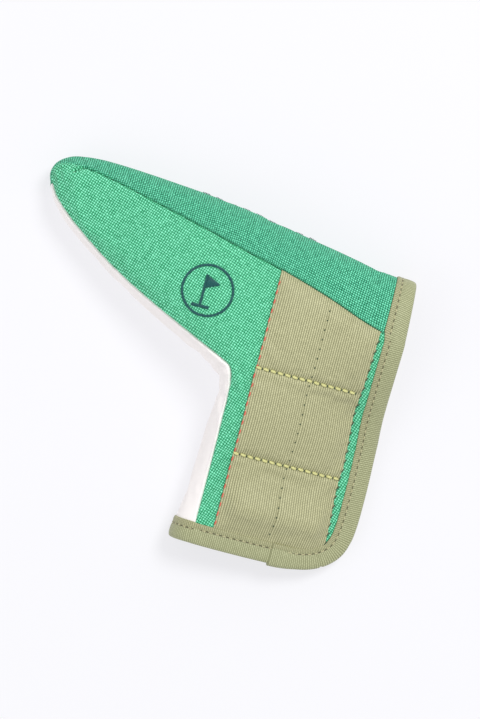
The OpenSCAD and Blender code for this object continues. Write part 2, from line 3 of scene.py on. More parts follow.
import bpy
import numpy as np
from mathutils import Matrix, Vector
from mathutils.kdtree import KDTree


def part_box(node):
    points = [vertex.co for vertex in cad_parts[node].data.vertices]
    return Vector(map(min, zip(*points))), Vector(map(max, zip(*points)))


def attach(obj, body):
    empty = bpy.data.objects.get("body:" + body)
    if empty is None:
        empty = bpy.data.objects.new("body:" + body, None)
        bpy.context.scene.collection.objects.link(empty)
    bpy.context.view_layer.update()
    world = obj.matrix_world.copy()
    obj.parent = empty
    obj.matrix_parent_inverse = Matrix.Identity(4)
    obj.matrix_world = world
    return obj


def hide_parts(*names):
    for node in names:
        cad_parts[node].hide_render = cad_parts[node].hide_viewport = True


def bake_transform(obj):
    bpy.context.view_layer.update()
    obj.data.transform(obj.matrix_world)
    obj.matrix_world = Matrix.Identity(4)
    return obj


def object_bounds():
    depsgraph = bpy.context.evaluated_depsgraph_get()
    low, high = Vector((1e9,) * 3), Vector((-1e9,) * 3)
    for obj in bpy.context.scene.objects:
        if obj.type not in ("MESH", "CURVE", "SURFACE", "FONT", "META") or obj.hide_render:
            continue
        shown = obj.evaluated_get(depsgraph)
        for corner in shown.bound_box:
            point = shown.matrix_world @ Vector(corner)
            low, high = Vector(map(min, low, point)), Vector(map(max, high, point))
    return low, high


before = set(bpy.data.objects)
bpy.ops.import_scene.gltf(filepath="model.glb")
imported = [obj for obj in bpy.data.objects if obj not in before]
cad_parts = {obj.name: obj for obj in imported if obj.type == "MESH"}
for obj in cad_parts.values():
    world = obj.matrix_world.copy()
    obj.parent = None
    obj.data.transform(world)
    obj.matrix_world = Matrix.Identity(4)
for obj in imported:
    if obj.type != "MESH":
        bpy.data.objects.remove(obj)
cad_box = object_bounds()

MM = 0.001
rng = np.random.default_rng(7)
scene = bpy.context.scene
COVER, FLAP = "cover", "front_flap"

# ---------------- pattern
# The pattern pieces of the cover in millimetres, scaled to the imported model's own size.
DRAWN_SIZE, SAME_SIZE = np.array([173.2, 154.5]), 0.004
cad_size = (np.array(cad_box[1]) - np.array(cad_box[0])) / MM
scale = cad_size[:2] / DRAWN_SIZE
scale = np.where(np.abs(scale - 1) < SAME_SIZE, 1.0, scale)
centre = np.array([-0.16, 0.13])


def pattern(points):
    return np.array(points, float) * scale + centre


sole_line = pattern([
    [-85.3, 60.5], [-86.6, 66], [-85.2, 70.8], [-81, 74.3], [-75.4, 76.2], [-65.4, 77.2],
    [-50.4, 76.8], [-30.4, 75.4], [-10.4, 73.6], [9.6, 71.1], [29.6, 67.6], [49.6, 64.2],
    [67.6, 61.4], [83.4, 59.8]])
front_seam = pattern([
    [-84.7, 61.7], [-85.8, 66], [-84.4, 69.9], [-80.2, 71.8], [-75.2, 72.1], [-65.4, 71.2],
    [-50.4, 68], [-30.4, 63.2], [-10.4, 58.4], [8.6, 53.5], [27.6, 49.1], [47.6, 43.3],
    [66.6, 36.8], [84.4, 32.4]])
back_seam = pattern([
    [-82.7, 62.7], [-83.2, 66], [-82, 68.6], [-78.6, 70.8], [-74.4, 71.2], [-65.4, 70.4],
    [-50.4, 68.2], [-30.4, 66.4], [-10.4, 64.6], [9.6, 62.1], [29.6, 58.6], [49.6, 55.2],
    [67.6, 52.4], [83.9, 50.7]])
top_line = pattern([
    [-85.3, 60.5], [-81.7, 54.6], [-76.4, 48.9], [-68.4, 42.6], [-55.4, 33.7], [-42.4, 25.9],
    [-28.4, 18.4], [-14.4, 11.2], [-3.4, 5.6], [4.1, 1.2], [8.8, -3], [10.5, -9],
    [10.2, -22], [9.8, -38], [8.6, -54], [6.9, -68], [6.3, -76.2]])
top_seam = pattern([
    [-84.7, 61.7], [-80.9, 56.2], [-75.4, 50.9], [-67.4, 44.7], [-54.4, 35.9], [-40.9, 28.1],
    [-26.4, 20.9], [-11.9, 14.4], [0.1, 9.1], [8.6, 5.5], [13, 2.8], [14.8, -4],
    [15.3, -20], [15.6, -38], [15.8, -54], [16, -68], [16.2, -76.2]])
low_seam = pattern([
    [-82.7, 62.7], [-77.4, 59.2], [-71.4, 54.8], [-63.4, 49], [-50.9, 41.2], [-38.4, 33.8],
    [-24.4, 26.4], [-10.4, 19.4], [1.1, 13.7], [10.1, 9.2], [16.6, 3.7], [19.4, -6],
    [19.2, -22], [18.8, -38], [17.6, -54], [15.8, -68], [15.2, -76.2]])
mouth_edge = pattern([
    [83.4, 59.8], [84, 50.7], [84.5, 32.4], [84.3, 15], [84.4, 0], [85.3, -20], [85.8, -38],
    [85.5, -54], [83.6, -63.5], [79, -69.8], [71.9, -74.1], [63, -76.1], [48, -76.4],
    [30, -76.4], [16.2, -76.2]])
TURN, EDGE_TURN = 10, 2
# How much of a gusset's length one millimetre is, at the sole's heel end and at the neck's end.
SOLE_END, NECK_END = 0.0048, 0.0076
GRAIN = -18.0

toe_depth, arm_depth, neck_depth = 24, 37, 22
closed_depth, mouth_depth = 6.2, 27
mid_share, back_z = 0.44, 1.0
topline_roll, back_roll, neck_fullness = 11, 9, 1.5
# Depths below the outer cloth's face, and thicknesses.
fabric_t = 0.9
foam_at, foam_t = 1.15, 2.0
pocket_at, pocket_t = 3.25, 0.3
lining_at, lining_t = 3.85, 0.5
tape_w = 8.6
stack_t = fabric_t + 0.1 + lining_t
webbing_x0, webbing_mid = 24.0, 48.6
tack_rows = (6.0, -33.0)
tack_pitch, TAPE_STITCH_PITCH = 3.3, 3.1
ring_at, ring_r, ring_w = np.array([-5.0, 33.0]), 11.8, 1.4
hinge_a, hinge_b = np.array([76.0, 33.0]), np.array([16.9, -68.0])
hinge_dir = (hinge_b - hinge_a) / np.linalg.norm(hinge_b - hinge_a)
hinge_side = np.array([-hinge_dir[1], hinge_dir[0]])


# ---------------- surfaces
def xy(p):
    return p[..., 0], p[..., 1]


def mix(a, b, t):
    return a * (1 - t) + b * t


def smooth(t):
    c = np.clip(t, 0, 1)
    return c * c * (3 - 2 * c)


def roll(t):
    c = np.clip(1 - t, 0, 1)
    return np.sqrt(np.maximum(0, 1 - c * c))


def bell(d, width):
    return np.exp(-(d / width) ** 2)


def unit(v):
    return v / np.maximum(np.linalg.norm(v, axis=-1, keepdims=True), 1e-12)


def curve(points, u):
    u = np.asarray(u, float)
    n = len(points) - 1
    s = np.clip(u, 0, 1) * n
    k = np.minimum(np.floor(s).astype(int), n - 1)
    t = (s - k)[..., None]
    b, c = points[k], points[k + 1]
    a = np.where((k > 0)[..., None], points[np.maximum(k - 1, 0)], 2 * b - c)
    d = np.where((k + 2 <= n)[..., None], points[np.minimum(k + 2, n)], 2 * c - b)
    return 0.5 * (2 * b + (c - a) * t + (2 * a - 5 * b + 4 * c - d) * t * t
                  + (3 * b - a - 3 * c + d) * t * t * t)


def inset(points, u, off):
    t = unit(curve(points, u + 0.002) - curve(points, u - 0.002))
    return curve(points, u) + np.asarray(off)[..., None] * np.stack([t[..., 1], -t[..., 0]], -1)


def sampled(points, n):
    return curve(points, np.linspace(0, 1, n))


def bilinear(data, x, y):
    """The value of a grid of samples at places counted in its own steps."""
    a = np.clip(np.floor(x).astype(int), 0, data.shape[0] - 2)
    b = np.clip(np.floor(y).astype(int), 0, data.shape[1] - 2)
    f, g = np.clip(x - a, 0, 1), np.clip(y - b, 0, 1)
    return ((data[a, b] * (1 - f) + data[a + 1, b] * f) * (1 - g)
            + (data[a, b + 1] * (1 - f) + data[a + 1, b + 1] * f) * g)


def from_line(p, line):
    flat = p.reshape(-1, 2)
    best = np.full(len(flat), 1e18)
    for a, b in zip(line[:-1], line[1:]):
        ab = b - a
        t = np.clip(((flat - a) @ ab) / (ab @ ab), 0, 1)
        d = flat - a - t[:, None] * ab
        best = np.minimum(best, d[:, 0] ** 2 + d[:, 1] ** 2)
    return np.sqrt(best).reshape(p.shape[:-1])


sole_samples = np.vstack([sampled(sole_line, 66), [[120, 56.5]]])
top_samples = np.vstack([sampled(top_line, 72), [[6, -120]]])
front_seam_samples = sampled(front_seam, 66)
top_seam_samples = sampled(top_seam, 72)


def depth(p):
    """The cover's depth: along the closed side from toe to neck, and across to the mouth."""
    x, y = xy(p)
    arm = mix(toe_depth, arm_depth, smooth((x + 85) / 98))
    closed_side = mix(arm, neck_depth, smooth((10 - y) / 87))
    heel = mix(closed_depth, mouth_depth, smooth((y + 24) / 58))
    return mix(closed_side, heel, np.clip((x - 12.6) / 72, 0, 1) ** neck_fullness)


def mid_z(p):
    return np.maximum(mid_share * depth(p), back_z)


def rolled_z(p, from_sole, from_top):
    m = mid_z(p)
    sole_roll = mix(12, 27, np.clip((p[..., 0] + 80) / 150, 0, 1))
    return m + (depth(p) - m) * roll(from_sole / sole_roll) * roll(from_top / topline_roll)


def under_z(p, d):
    return back_z + (mid_z(p) - back_z) * (1 - roll(d / back_roll))


def front_z(p):
    return rolled_z(p, from_line(p, sole_samples), from_line(p, top_samples))


def under_back(p):
    return under_z(p, np.minimum(from_line(p, sole_samples), from_line(p, top_samples)))


# How far the simulated front puffs out, sampled every millimetre from its low corner.
lift_map = {"low": np.array([-90.0, -80.0]), "data": np.zeros((185, 165))}


def map_lift(p):
    return bilinear(lift_map["data"], *xy(p - lift_map["low"]))


def right_x(y):
    pts = np.array([[73.2, 0], [72.2, 0], [73.1, 0], [74.4, 0]])
    return curve(pts, np.clip((34 - np.asarray(y, float)) / 100, 0, 1))[..., 0]


def drop_below(at, y, fall, rise):
    """A step down just below y = at, which comes back slowly further down."""
    return smooth((at + 1 - y) / fall) - smooth((at + 1 - fall - y) / rise)


def tack_dip(p):
    """How far the rows of tack stitches pull the front in."""
    x, y = xy(p)
    across = smooth((x - webbing_x0 + 5) / 7) * smooth((right_x(y) + 5 - x) / 7)
    dip = sum(0.5 * bell(y - row, 2.0) + 1.1 * drop_below(row, y, 7, 17) for row in tack_rows)
    return dip * across


def slack(p):
    """Soft folds: the webbing falls away under the upper row of tacks, towards the heel."""
    x, y = xy(p)
    heel = bell(x - 67, 12) * drop_below(4, y, 9, 16)
    turn = bell(np.hypot(x - 19, (y - 8) * 0.6), 9)
    return 1.2 * heel + 0.3 * turn * np.sin((x + y) * 0.7)


def front_disp(p):
    return map_lift(p) - tack_dip(p) - slack(p)


def normals_of(z_of, p, sign, step=0.25):
    slopes = [(z_of(p - d) - z_of(p + d)) * sign for d in step * np.eye(2)]
    return unit(np.stack([*slopes, np.full(p.shape[:-1], 2.0 * step * sign)], -1))


def raised(base, off, normals):
    return base + np.broadcast_to(np.asarray(off, float), base.shape[:-1])[..., None] * normals


def on_face(z_of, p, off, sign):
    return raised(np.concatenate([p, z_of(p)[..., None]], -1), off, normals_of(z_of, p, sign))


def front_at(p, off):
    return on_face(front_z, p, off + front_disp(p), 1)


def back_at(p, off):
    return on_face(under_back, p, off, -1)


class Gusset:
    """A side panel: u runs along it, t from the front seam (0) over the outline (1) to the back (2)."""

    def __init__(self, front, outline, back, own, other, side):
        self.front, self.outline, self.back = front, outline, back
        self.own, self.other, self.side = own, other, side

    def xy(self, u, t):
        f, o, b = curve(self.front, u), curve(self.outline, u), curve(self.back, u)
        w = np.where(t <= 1, 1 - (1 - t) ** 2, (t - 1) ** 2)[..., None]
        return np.where(t[..., None] <= 1, mix(f, o, w), mix(o, b, w))

    def p(self, u, t):
        u, t = np.broadcast_arrays(np.asarray(u, float), np.asarray(t, float))
        p = self.xy(u, t)
        seam = np.where(t <= 1, from_line(curve(self.front, u), self.own),
                        from_line(curve(self.back, u), self.own))
        own = seam * (1 - t) ** 2
        other = from_line(p, self.other)
        a, b = (own, other) if self.side > 0 else (other, own)
        z = np.where(t > 1, under_z(p, np.minimum(own, other)), rolled_z(p, a, b))
        return np.concatenate([p, z[..., None]], -1)

    def at(self, u, t, off):
        du = self.p(u + 0.003, t) - self.p(u - 0.003, t)
        dt = self.p(u, t + 0.01) - self.p(u, t - 0.01)
        n = self.side * unit(np.cross(du, dt))
        return raised(self.p(u, t), off, n)


sole = Gusset(front_seam, sole_line, back_seam, sole_samples, top_samples, 1)
topside = Gusset(top_seam, top_line, low_seam, top_samples, sole_samples, -1)


# ---------------- meshes
def link(name, data):
    obj = bpy.data.objects.new(name, data)
    scene.collection.objects.link(obj)
    return obj


def add_object(name, verts, faces, uv=None, sharp=45):
    mesh = bpy.data.meshes.new(name)
    mesh.from_pydata((np.asarray(verts) * MM).tolist(), [], [list(map(int, f)) for f in faces])
    if uv is not None:
        loops = np.empty(len(mesh.loops), np.int32)
        mesh.loops.foreach_get("vertex_index", loops)
        layer = mesh.uv_layers.new(name="Cloth")
        layer.data.foreach_set("uv", np.asarray(uv, np.float32)[loops].ravel())
    mesh.shade_smooth()
    mesh.set_sharp_from_angle(angle=math.radians(sharp))
    mesh.validate()
    return link(name, mesh)


def grid_faces(ni, nj, start=0, flip=False):
    i, j = np.meshgrid(np.arange(ni - 1), np.arange(nj - 1), indexing="ij")
    a = start + i * nj + j
    q = np.stack([a, a + nj, a + nj + 1, a + 1], -1).reshape(-1, 4)
    return q[:, ::-1] if flip else q


def faces_away(grid, outward):
    """The normals of a grid of points, and whether they point away from outward."""
    cross = np.cross(np.gradient(grid, axis=0), np.gradient(grid, axis=1))
    return cross, float((cross * np.asarray(outward)).sum(-1).mean()) < 0


def slab(name, outer, inner, uv, outward):
    """A closed sheet between two grids; outward says roughly where the outer side faces."""
    ni, nj = outer.shape[:2]
    m = ni * nj
    flip = faces_away(outer, outward)[1]
    faces = [grid_faces(ni, nj, 0, flip), grid_faces(ni, nj, m, not flip)]
    idx = np.arange(m).reshape(ni, nj)
    rim = np.r_[idx[0, :], idx[1:, -1], idx[-1, -2::-1], idx[-2:0:-1, 0]]
    nxt = np.roll(rim, -1)
    side = np.stack([rim, nxt, nxt + m, rim + m], -1)
    faces.append(side if not flip else side[:, ::-1])
    verts = np.concatenate([outer.reshape(-1, 3), inner.reshape(-1, 3)])
    uvs = np.concatenate([uv.reshape(-1, 2)] * 2)
    return add_object(name, verts, np.concatenate(faces), uvs)


def joined(parts):
    verts, faces, uvs, start = [], [], [], 0
    for v, f, t in parts:
        verts.append(v)
        faces += [[int(i) + start for i in q] for q in f]
        uvs.append(t)
        start += len(v)
    return np.concatenate(verts), faces, np.concatenate(uvs)


def turned(p):
    """Coordinates along the grain of the panels, which runs with the arm."""
    g = math.radians(GRAIN)
    return p @ np.array([[math.cos(g), -math.sin(g)], [math.sin(g), math.cos(g)]])


def arc(p, axis):
    """Distance run along one axis of a grid."""
    d = np.linalg.norm(np.diff(p, axis=axis), axis=-1)
    zero = np.zeros_like(np.take(d, [0], axis=axis))
    return np.concatenate([zero, np.cumsum(d, axis=axis)], axis=axis)


def ring_faces(n, k, m):
    """Numbers the points of n tubes of k rings of m points, and lists the faces round them."""
    idx = np.arange(n * k * m).reshape(n, k, m)
    a, b = idx[:, :-1], idx[:, 1:]
    faces = np.stack([a, np.roll(a, -1, 2), np.roll(b, -1, 2), b], -1)
    return idx, [list(f) for f in faces.reshape(-1, 4)]


def tube_data(paths, radii, ups, sides=8, flat=1.0):
    """Closed round threads along N paths of K points each, with a radius at each point."""
    paths = np.asarray(paths, float)
    n, k = paths.shape[:2]
    radii = np.broadcast_to(np.asarray(radii, float), (n, k))
    d = unit(np.gradient(paths, axis=1))
    up = np.broadcast_to(np.asarray(ups, float), paths.shape)
    up = unit(up - (up * d).sum(-1, keepdims=True) * d)
    side = np.cross(d, up)
    a = np.linspace(0, 2 * math.pi, sides, endpoint=False)
    ring = (np.cos(a)[:, None] * flat * up[..., None, :] + np.sin(a)[:, None] * side[..., None, :])
    v = paths[..., None, :] + radii[..., None, None] * ring
    idx, faces = ring_faces(n, k, sides)
    run = arc(paths, 1)
    uv = np.stack([np.broadcast_to(run[..., None], (n, k, sides)),
                   np.broadcast_to(np.arange(sides) / sides, (n, k, sides))], -1)
    uv = uv + np.arange(n)[:, None, None, None] * np.array([1.37, 0])
    caps = [list(r[0][::-1]) for r in idx] + [list(r[-1]) for r in idx]
    return v.reshape(-1, 3), faces + caps, uv.reshape(-1, 2)


def dim(color, share):
    return tuple(c * share for c in color)


# ---------------- materials
class Look:
    """A small builder for node materials."""

    def __init__(self, name, color, rough, **shader):
        self.mat = bpy.data.materials.new(name)
        self.mat.use_nodes = True
        self.tree = self.mat.node_tree
        self.bsdf = self.tree.nodes["Principled BSDF"]
        self.set(self.bsdf, Base_Color=(*color, 1), Roughness=rough, **shader)
        self.mat.diffuse_color = (*color, 1)

    def put(self, socket, value):
        if isinstance(value, bpy.types.NodeSocket):
            self.tree.links.new(value, socket)
        elif value is not None:
            socket.default_value = value

    def set(self, n, **values):
        for key, value in values.items():
            self.put(n.inputs[key.replace("_", " ")], value)
        return n

    def node(self, kind, **props):
        n = self.tree.nodes.new(kind)
        for key, value in props.items():
            setattr(n, key, value)
        return n

    def m(self, op, *args):
        return self.fill(self.node("ShaderNodeMath", operation=op), *args)

    def fill(self, n, *values):
        for i, v in enumerate(values):
            self.put(n.inputs[i], v)
        return n.outputs[0]

    def add(self, a, b):
        return self.m("ADD", a, b)

    def sub(self, a, b):
        return self.m("SUBTRACT", a, b)

    def mul(self, a, b):
        return self.m("MULTIPLY", a, b)

    def vary(self, value, noise, amount):
        """value, made a little more or less by a noise round 0.5."""
        return self.add(value, self.mul(self.sub(noise, 0.5), amount))

    def uv(self):
        n = self.node("ShaderNodeUVMap", uv_map="Cloth")
        s = self.node("ShaderNodeSeparateXYZ")
        self.put(s.inputs[0], n.outputs[0])
        return s.outputs[0], s.outputs[1], n.outputs[0]

    def noise(self, vector, size, detail):
        n = self.node("ShaderNodeTexNoise")
        return self.set(n, Vector=vector, Scale=size, Detail=detail).outputs["Fac"]

    def place(self):
        return self.node("ShaderNodeTexCoord").outputs["Object"]

    def vec(self, x, y, z=0.0):
        return self.fill(self.node("ShaderNodeCombineXYZ"), x, y, z)

    def spread(self, value, low, high, to_low=0.0, to_high=1.0):
        return self.fill(self.node("ShaderNodeMapRange"), value, low, high, to_low, to_high)

    def ramp(self, fac, stops):
        n = self.node("ShaderNodeValToRGB")
        while len(n.color_ramp.elements) < len(stops):
            n.color_ramp.elements.new(0.5)
        for e, (at, c) in zip(n.color_ramp.elements, stops):
            e.position, e.color = at, (*c, 1)
        self.put(n.inputs[0], fac)
        return n.outputs[0]

    def blend(self, fac, a, b, kind="MIX"):
        n = self.node("ShaderNodeMix", data_type="RGBA", blend_type=kind)
        self.put(n.inputs["Factor"], fac)
        self.put(n.inputs[6], a if isinstance(a, bpy.types.NodeSocket) else (*a, 1))
        self.put(n.inputs[7], b if isinstance(b, bpy.types.NodeSocket) else (*b, 1))
        return n.outputs[2]

    def shade(self, color, by, low, high, most, other):
        """color, turned towards other as a value rises from low to high."""
        return self.blend(self.spread(by, low, high, 0.0, most), color, other)

    def bump(self, height, strength, distance, after=None):
        n = self.node("ShaderNodeBump")
        return self.set(n, Strength=strength, Distance=distance, Height=height, Normal=after).outputs[0]

    def done(self, color=None, normal=None, rough=None):
        self.set(self.bsdf, Base_Color=color, Normal=normal, Roughness=rough)
        return self.mat


def rgb(r, g, b):
    """A colour given as it looks on screen, 0 to 255."""
    return tuple(c / 12.92 if c <= 0.04045 else ((c + 0.055) / 1.055) ** 2.4
                 for c in (r / 255, g / 255, b / 255))


def weave_look(name, gap, dark, light, pitch, sheen=0.08):
    """A coarse plain weave: yarns pass over and under each other in a check."""
    k = Look(name, light, 0.66, Sheen_Weight=sheen, Sheen_Roughness=0.4, Specular_IOR_Level=0.22)
    u, v, place = k.uv()
    drift = k.mul(k.sub(k.noise(place, 0.22, 1.0), 0.5), 0.5)
    x, y = k.add(k.m("DIVIDE", u, pitch), drift), k.sub(k.m("DIVIDE", v, pitch), drift)
    cx, cy = (k.sub(k.m("FRACT", c), 0.5) for c in (x, y))
    ix, iy = k.m("FLOOR", x), k.m("FLOOR", y)
    odd = k.m("FLOORED_MODULO", k.add(ix, iy), 2.0)
    even = k.sub(1.0, odd)
    a = k.add(k.mul(cx, even), k.mul(cy, odd))
    b = k.add(k.mul(cy, even), k.mul(cx, odd))
    across = k.sub(1.0, k.m("POWER", k.m("ABSOLUTE", k.mul(a, 2.0)), 2.6))
    along = k.sub(1.0, k.mul(k.m("POWER", k.m("ABSOLUTE", b), 2.0), 2.9))
    height = k.mul(across, along)
    cell = k.noise(k.vec(ix, iy), 0.9, 0.0)
    yarn = k.add(k.mul(ix, 3.1), k.mul(iy, 7.7))
    strand = k.noise(k.vec(k.mul(b, 1.3), k.mul(a, 11.0), yarn), 1.6, 1.0)
    tone = k.vary(k.mul(height, 0.86), cell, 0.34)
    tone = k.vary(k.vary(tone, k.noise(place, 0.34, 2.0), 0.32), strand, 0.3)
    color = k.ramp(k.sub(tone, k.mul(odd, 0.12)), [(0.08, gap), (0.46, dark), (0.82, light)])
    color = k.shade(color, k.noise(k.place(), 26.0, 3.0), 0.3, 0.75, 0.16, dim(dark, 0.72))
    return k.done(color, k.bump(strand, 0.15, 0.06 * MM, k.bump(height, 0.8, 0.3 * MM)))


def twill_look(name, base, pitch):
    """A smooth, tightly woven cloth with a fine grain and soft creases."""
    k = Look(name, base, 0.55, Sheen_Weight=0.1)
    fine = k.mul(*(k.m("SINE", k.mul(c, 2 * math.pi / pitch)) for c in k.uv()[:2]))
    soft = k.noise(k.place(), 60.0, 3.0)
    color = k.shade(base, soft, 0.35, 0.8, 0.35, dim(base, 0.86))
    color = k.blend(k.spread(fine, -1.0, 1.0, 0.06, 0.0), color, dim(base, 0.6))
    return k.done(color, k.bump(soft, 0.25, 0.4 * MM, k.bump(fine, 0.125, 0.06 * MM)))


def rib_look(name, base, dark, light, across_pitch, along_pitch, inner_band=None):
    """Flat woven tape: fine ribs one way, small floats of thread the other way."""
    k = Look(name, base, 0.58, Sheen_Weight=0.1, Specular_IOR_Level=0.3)
    u, v, _ = k.uv()
    x = k.m("DIVIDE", u, across_pitch)
    row = k.m("FLOOR", x)
    y = k.add(k.m("DIVIDE", v, along_pitch), k.mul(k.m("FLOORED_MODULO", row, 2.0), 0.5))
    rib, thread = (k.m("ABSOLUTE", k.m("SINE", k.mul(c, math.pi))) for c in (x, y))
    height = k.mul(k.m("POWER", rib, 0.7), k.spread(thread, 0.0, 1.0, 0.72, 1.0))
    cell = k.noise(k.vec(row, k.m("FLOOR", y)), 0.83, 0.0)
    color = k.ramp(k.vary(k.mul(height, 0.85), cell, 0.24), [(0.05, dark), (0.5, base), (0.9, light)])
    color = k.shade(color, k.noise(k.place(), 30.0, 3.0), 0.3, 0.8, 0.18, dim(base, 0.75))
    if inner_band:
        inner = k.spread(v, 2.1, 2.9, 1.0, 0.0)
        color = k.blend(k.mul(inner, 0.6), color, inner_band, "MULTIPLY")
    return k.done(color, k.bump(height, 0.5, 0.12 * MM))


def thread_look(name, base, twist=0.5, hole_shade=None):
    """Twisted yarn; where v is past 4 it takes a dark colour, painted shade for the needle's holes."""
    k = Look(name, base, 0.4, Sheen_Weight=0.08)
    u, v, _ = k.uv()
    ply = k.m("SINE", k.add(k.mul(u, 2 * math.pi / twist), k.mul(v, 4 * math.pi)))
    color = k.blend(k.spread(ply, -1.0, 1.0, 0.4, 0.0), base, dim(base, 0.5))
    bright = tuple(min(1, c) for c in dim(base, 1.25))
    color = k.shade(color, k.noise(k.place(), 900.0, 1.0), 0.3, 0.7, 0.2, bright)
    if hole_shade:
        color = k.shade(color, v, 4.0, 4.5, 1.0, hole_shade)
    return k.done(color, k.bump(ply, 0.4, 0.06 * MM))


def plush_look(name, base):
    """Short brushed lining."""
    k = Look(name, base, 0.9, Sheen_Weight=0.35)
    tuft = k.noise(k.place(), 1500.0, 2.0)
    color = k.shade(dim(base, 0.72), tuft, 0.35, 0.7, 1.0, base)
    color = k.shade(color, k.noise(k.place(), 90.0, 3.0), 0.35, 0.7, 0.25, dim(base, 0.8))
    return k.done(color, k.bump(tuft, 0.6, 0.3 * MM))


def foam_look(name, base):
    k = Look(name, base, 0.85)
    d = k.set(k.node("ShaderNodeTexVoronoi"), Vector=k.place(), Scale=1600.0).outputs["Distance"]
    return k.done(k.shade(dim(base, 0.6), d, 0.0, 0.6, 1.0, base), k.bump(d, 0.5, 0.2 * MM))


def metal_look(name):
    k = Look(name, (0.55, 0.55, 0.56), 0.28, Metallic=1.0)
    scratch = k.noise(k.place(), 420.0, 4.0)
    return k.done(None, k.bump(scratch, 0.1, 0.02 * MM), k.spread(scratch, 0.3, 0.7, 0.2, 0.42))


front_fabric = weave_look("front_weave", rgb(10, 114, 74), rgb(92, 207, 153), rgb(152, 250, 210), 1.05)
# The sole's weave is the front's green made darker and bluer for the sole's steep slope: painted shade and
# sheen.
sole_fabric = weave_look("sole_weave_shaded", rgb(2, 76, 50), rgb(70, 182, 140), rgb(134, 240, 198), 1.0, 0.02)
gusset_cloth = twill_look("gusset_cloth", rgb(255, 249, 246), 0.42)
webbing_look = rib_look("webbing_weave", rgb(169, 168, 128), rgb(88, 87, 56), rgb(206, 204, 161), 1.0, 1.08)
tape_look = rib_look("tape_weave", rgb(157, 160, 121), rgb(106, 107, 72), rgb(193, 196, 154), 0.9, 1.3,
                     (0.97, 0.9, 0.89))
tack_look = thread_look("tack_thread", rgb(222, 220, 150))
# Dark olive for the marks of painted shade at the webbing's stitches.
stitch_shade_look = thread_look("dark_thread", rgb(66, 84, 58))
coral_look = thread_look("edge_yarn", rgb(228, 108, 88))
# The needle holes at the tape's stitches get a dark olive colour: painted shade.
tape_thread_look = thread_look("tape_thread", rgb(200, 194, 152), hole_shade=rgb(96, 91, 62))
emblem_look = thread_look("emblem_thread", rgb(14, 92, 92), 0.9)
lining_look = plush_look("lining_plush", rgb(176, 172, 166))
foam_mat = foam_look("foam_cells", rgb(232, 228, 214))
magnet_mat = metal_look("magnet_nickel")
pocket_mat = twill_look("pocket_cloth", rgb(220, 217, 206), 0.5)


def dress(obj, look):
    obj.data.materials.clear()
    obj.data.materials.append(look)


def finish(obj, look, slot, *nodes, body=None, fill=None):
    """Gives a piece its material, hides the CAD nodes it stands for and sets what it rides on. slot is not
    used.
    """
    dress(obj, look)
    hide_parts(*nodes)
    if body:
        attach(obj, body)
    else:
        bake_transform(obj)
        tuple(blend_start)
        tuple(blend_end)


def beside_hinge(off, z=15):
    x, y = (hinge_a + hinge_b) / 2 + off * hinge_side
    return x * MM, y * MM, z * MM


# This band lies just inside the free part of the front.
BEND_FROM, BEND_TO = 7.7, 21.0
blend_start, blend_end = beside_hinge(BEND_FROM), beside_hinge(BEND_TO)


# ---------------- grids
EDGE_STEPS = np.array([0, 0.17, 0.36, 0.6, 0.95, 1.4, 2.0, 2.8])


def rule_t(lengths, n):
    """Columns of a grid of rules: close together at both ends, even between."""
    e = EDGE_STEPS[None, :] * np.minimum(1, 0.3 * lengths[:, None] / EDGE_STEPS[-1])
    middle = np.linspace(0, 1, n)[None, 1:-1]
    span = (lengths - 2 * e[:, -1])[:, None]
    d = np.concatenate([e, e[:, -1:] + middle * span, lengths[:, None] - e[:, ::-1]], 1)
    return d / lengths[:, None]


def ruled(a, b, n):
    t = rule_t(np.linalg.norm(b - a, axis=-1), n)
    return mix(a[:, None], b[:, None], t[..., None]), t


bottom_samples = sampled(mouth_edge[11:][::-1], 60)
ARM_SHARE = TURN / (len(top_seam) - 1)
arm_rows, neck_rows = np.linspace(0.0006, 1, 168), np.linspace(0, 1, 85)[1:]


def panel_grid(side_line, arm_line, edge_line, ua, un, nt):
    """Rules from the side gusset's seam to the sole's seam, and from there on to the mouth's edge."""
    a = curve(side_line, np.r_[ua * ARM_SHARE, ARM_SHARE + un * (1 - ARM_SHARE)])
    b = np.vstack([curve(arm_line, ua), curve(edge_line, un)])
    p, t = ruled(a, b, nt)
    w = np.r_[np.zeros(len(ua)), un ** 5][:, None]
    y = np.interp(p[..., 0], bottom_samples[:, 0], bottom_samples[:, 1])
    straight = mix(a[-1, 1], b[-1, 1], t[-1])[None, :]
    p[..., 1] += w * (y - straight) * (t > 0) * (t < 1)
    return p


flap_side, back_side = mouth_edge[EDGE_TURN:12], mouth_edge[1:12]
front_p = panel_grid(top_seam, front_seam, flap_side, arm_rows, neck_rows, 74)
sole_u = arm_rows[:, None]
sole_t = np.r_[
    0, 0.004, 0.008, 0.012, 0.0165, 0.0215, 0.027, 0.034, 0.042, 0.052, 0.065, 0.08, 0.1,
    np.linspace(0.12, 1.86, 46), 1.9, 1.93, 1.955, 1.975, 1.99, 2.0][None, :]
top_u = np.r_[arm_rows * ARM_SHARE, ARM_SHARE + neck_rows * (1 - ARM_SHARE)][:, None]
top_t = np.r_[
    0, 0.02, 0.04, 0.065, 0.095, 0.13, 0.18,
    np.linspace(0.24, 1.78, 30), 1.84, 1.89, 1.93, 1.96, 1.98, 2.0][None, :]


# ---------------- cloth simulation
SIM_FRAMES = 20
FRONT_PRESSURE, GUSSET_PRESSURE = 5.0, 3.0
# The furthest that each sheet may move, in millimetres.
FRONT_CAP, SOLE_CAP, TOPLINE_CAP = 0.8, 0.45, 0.7


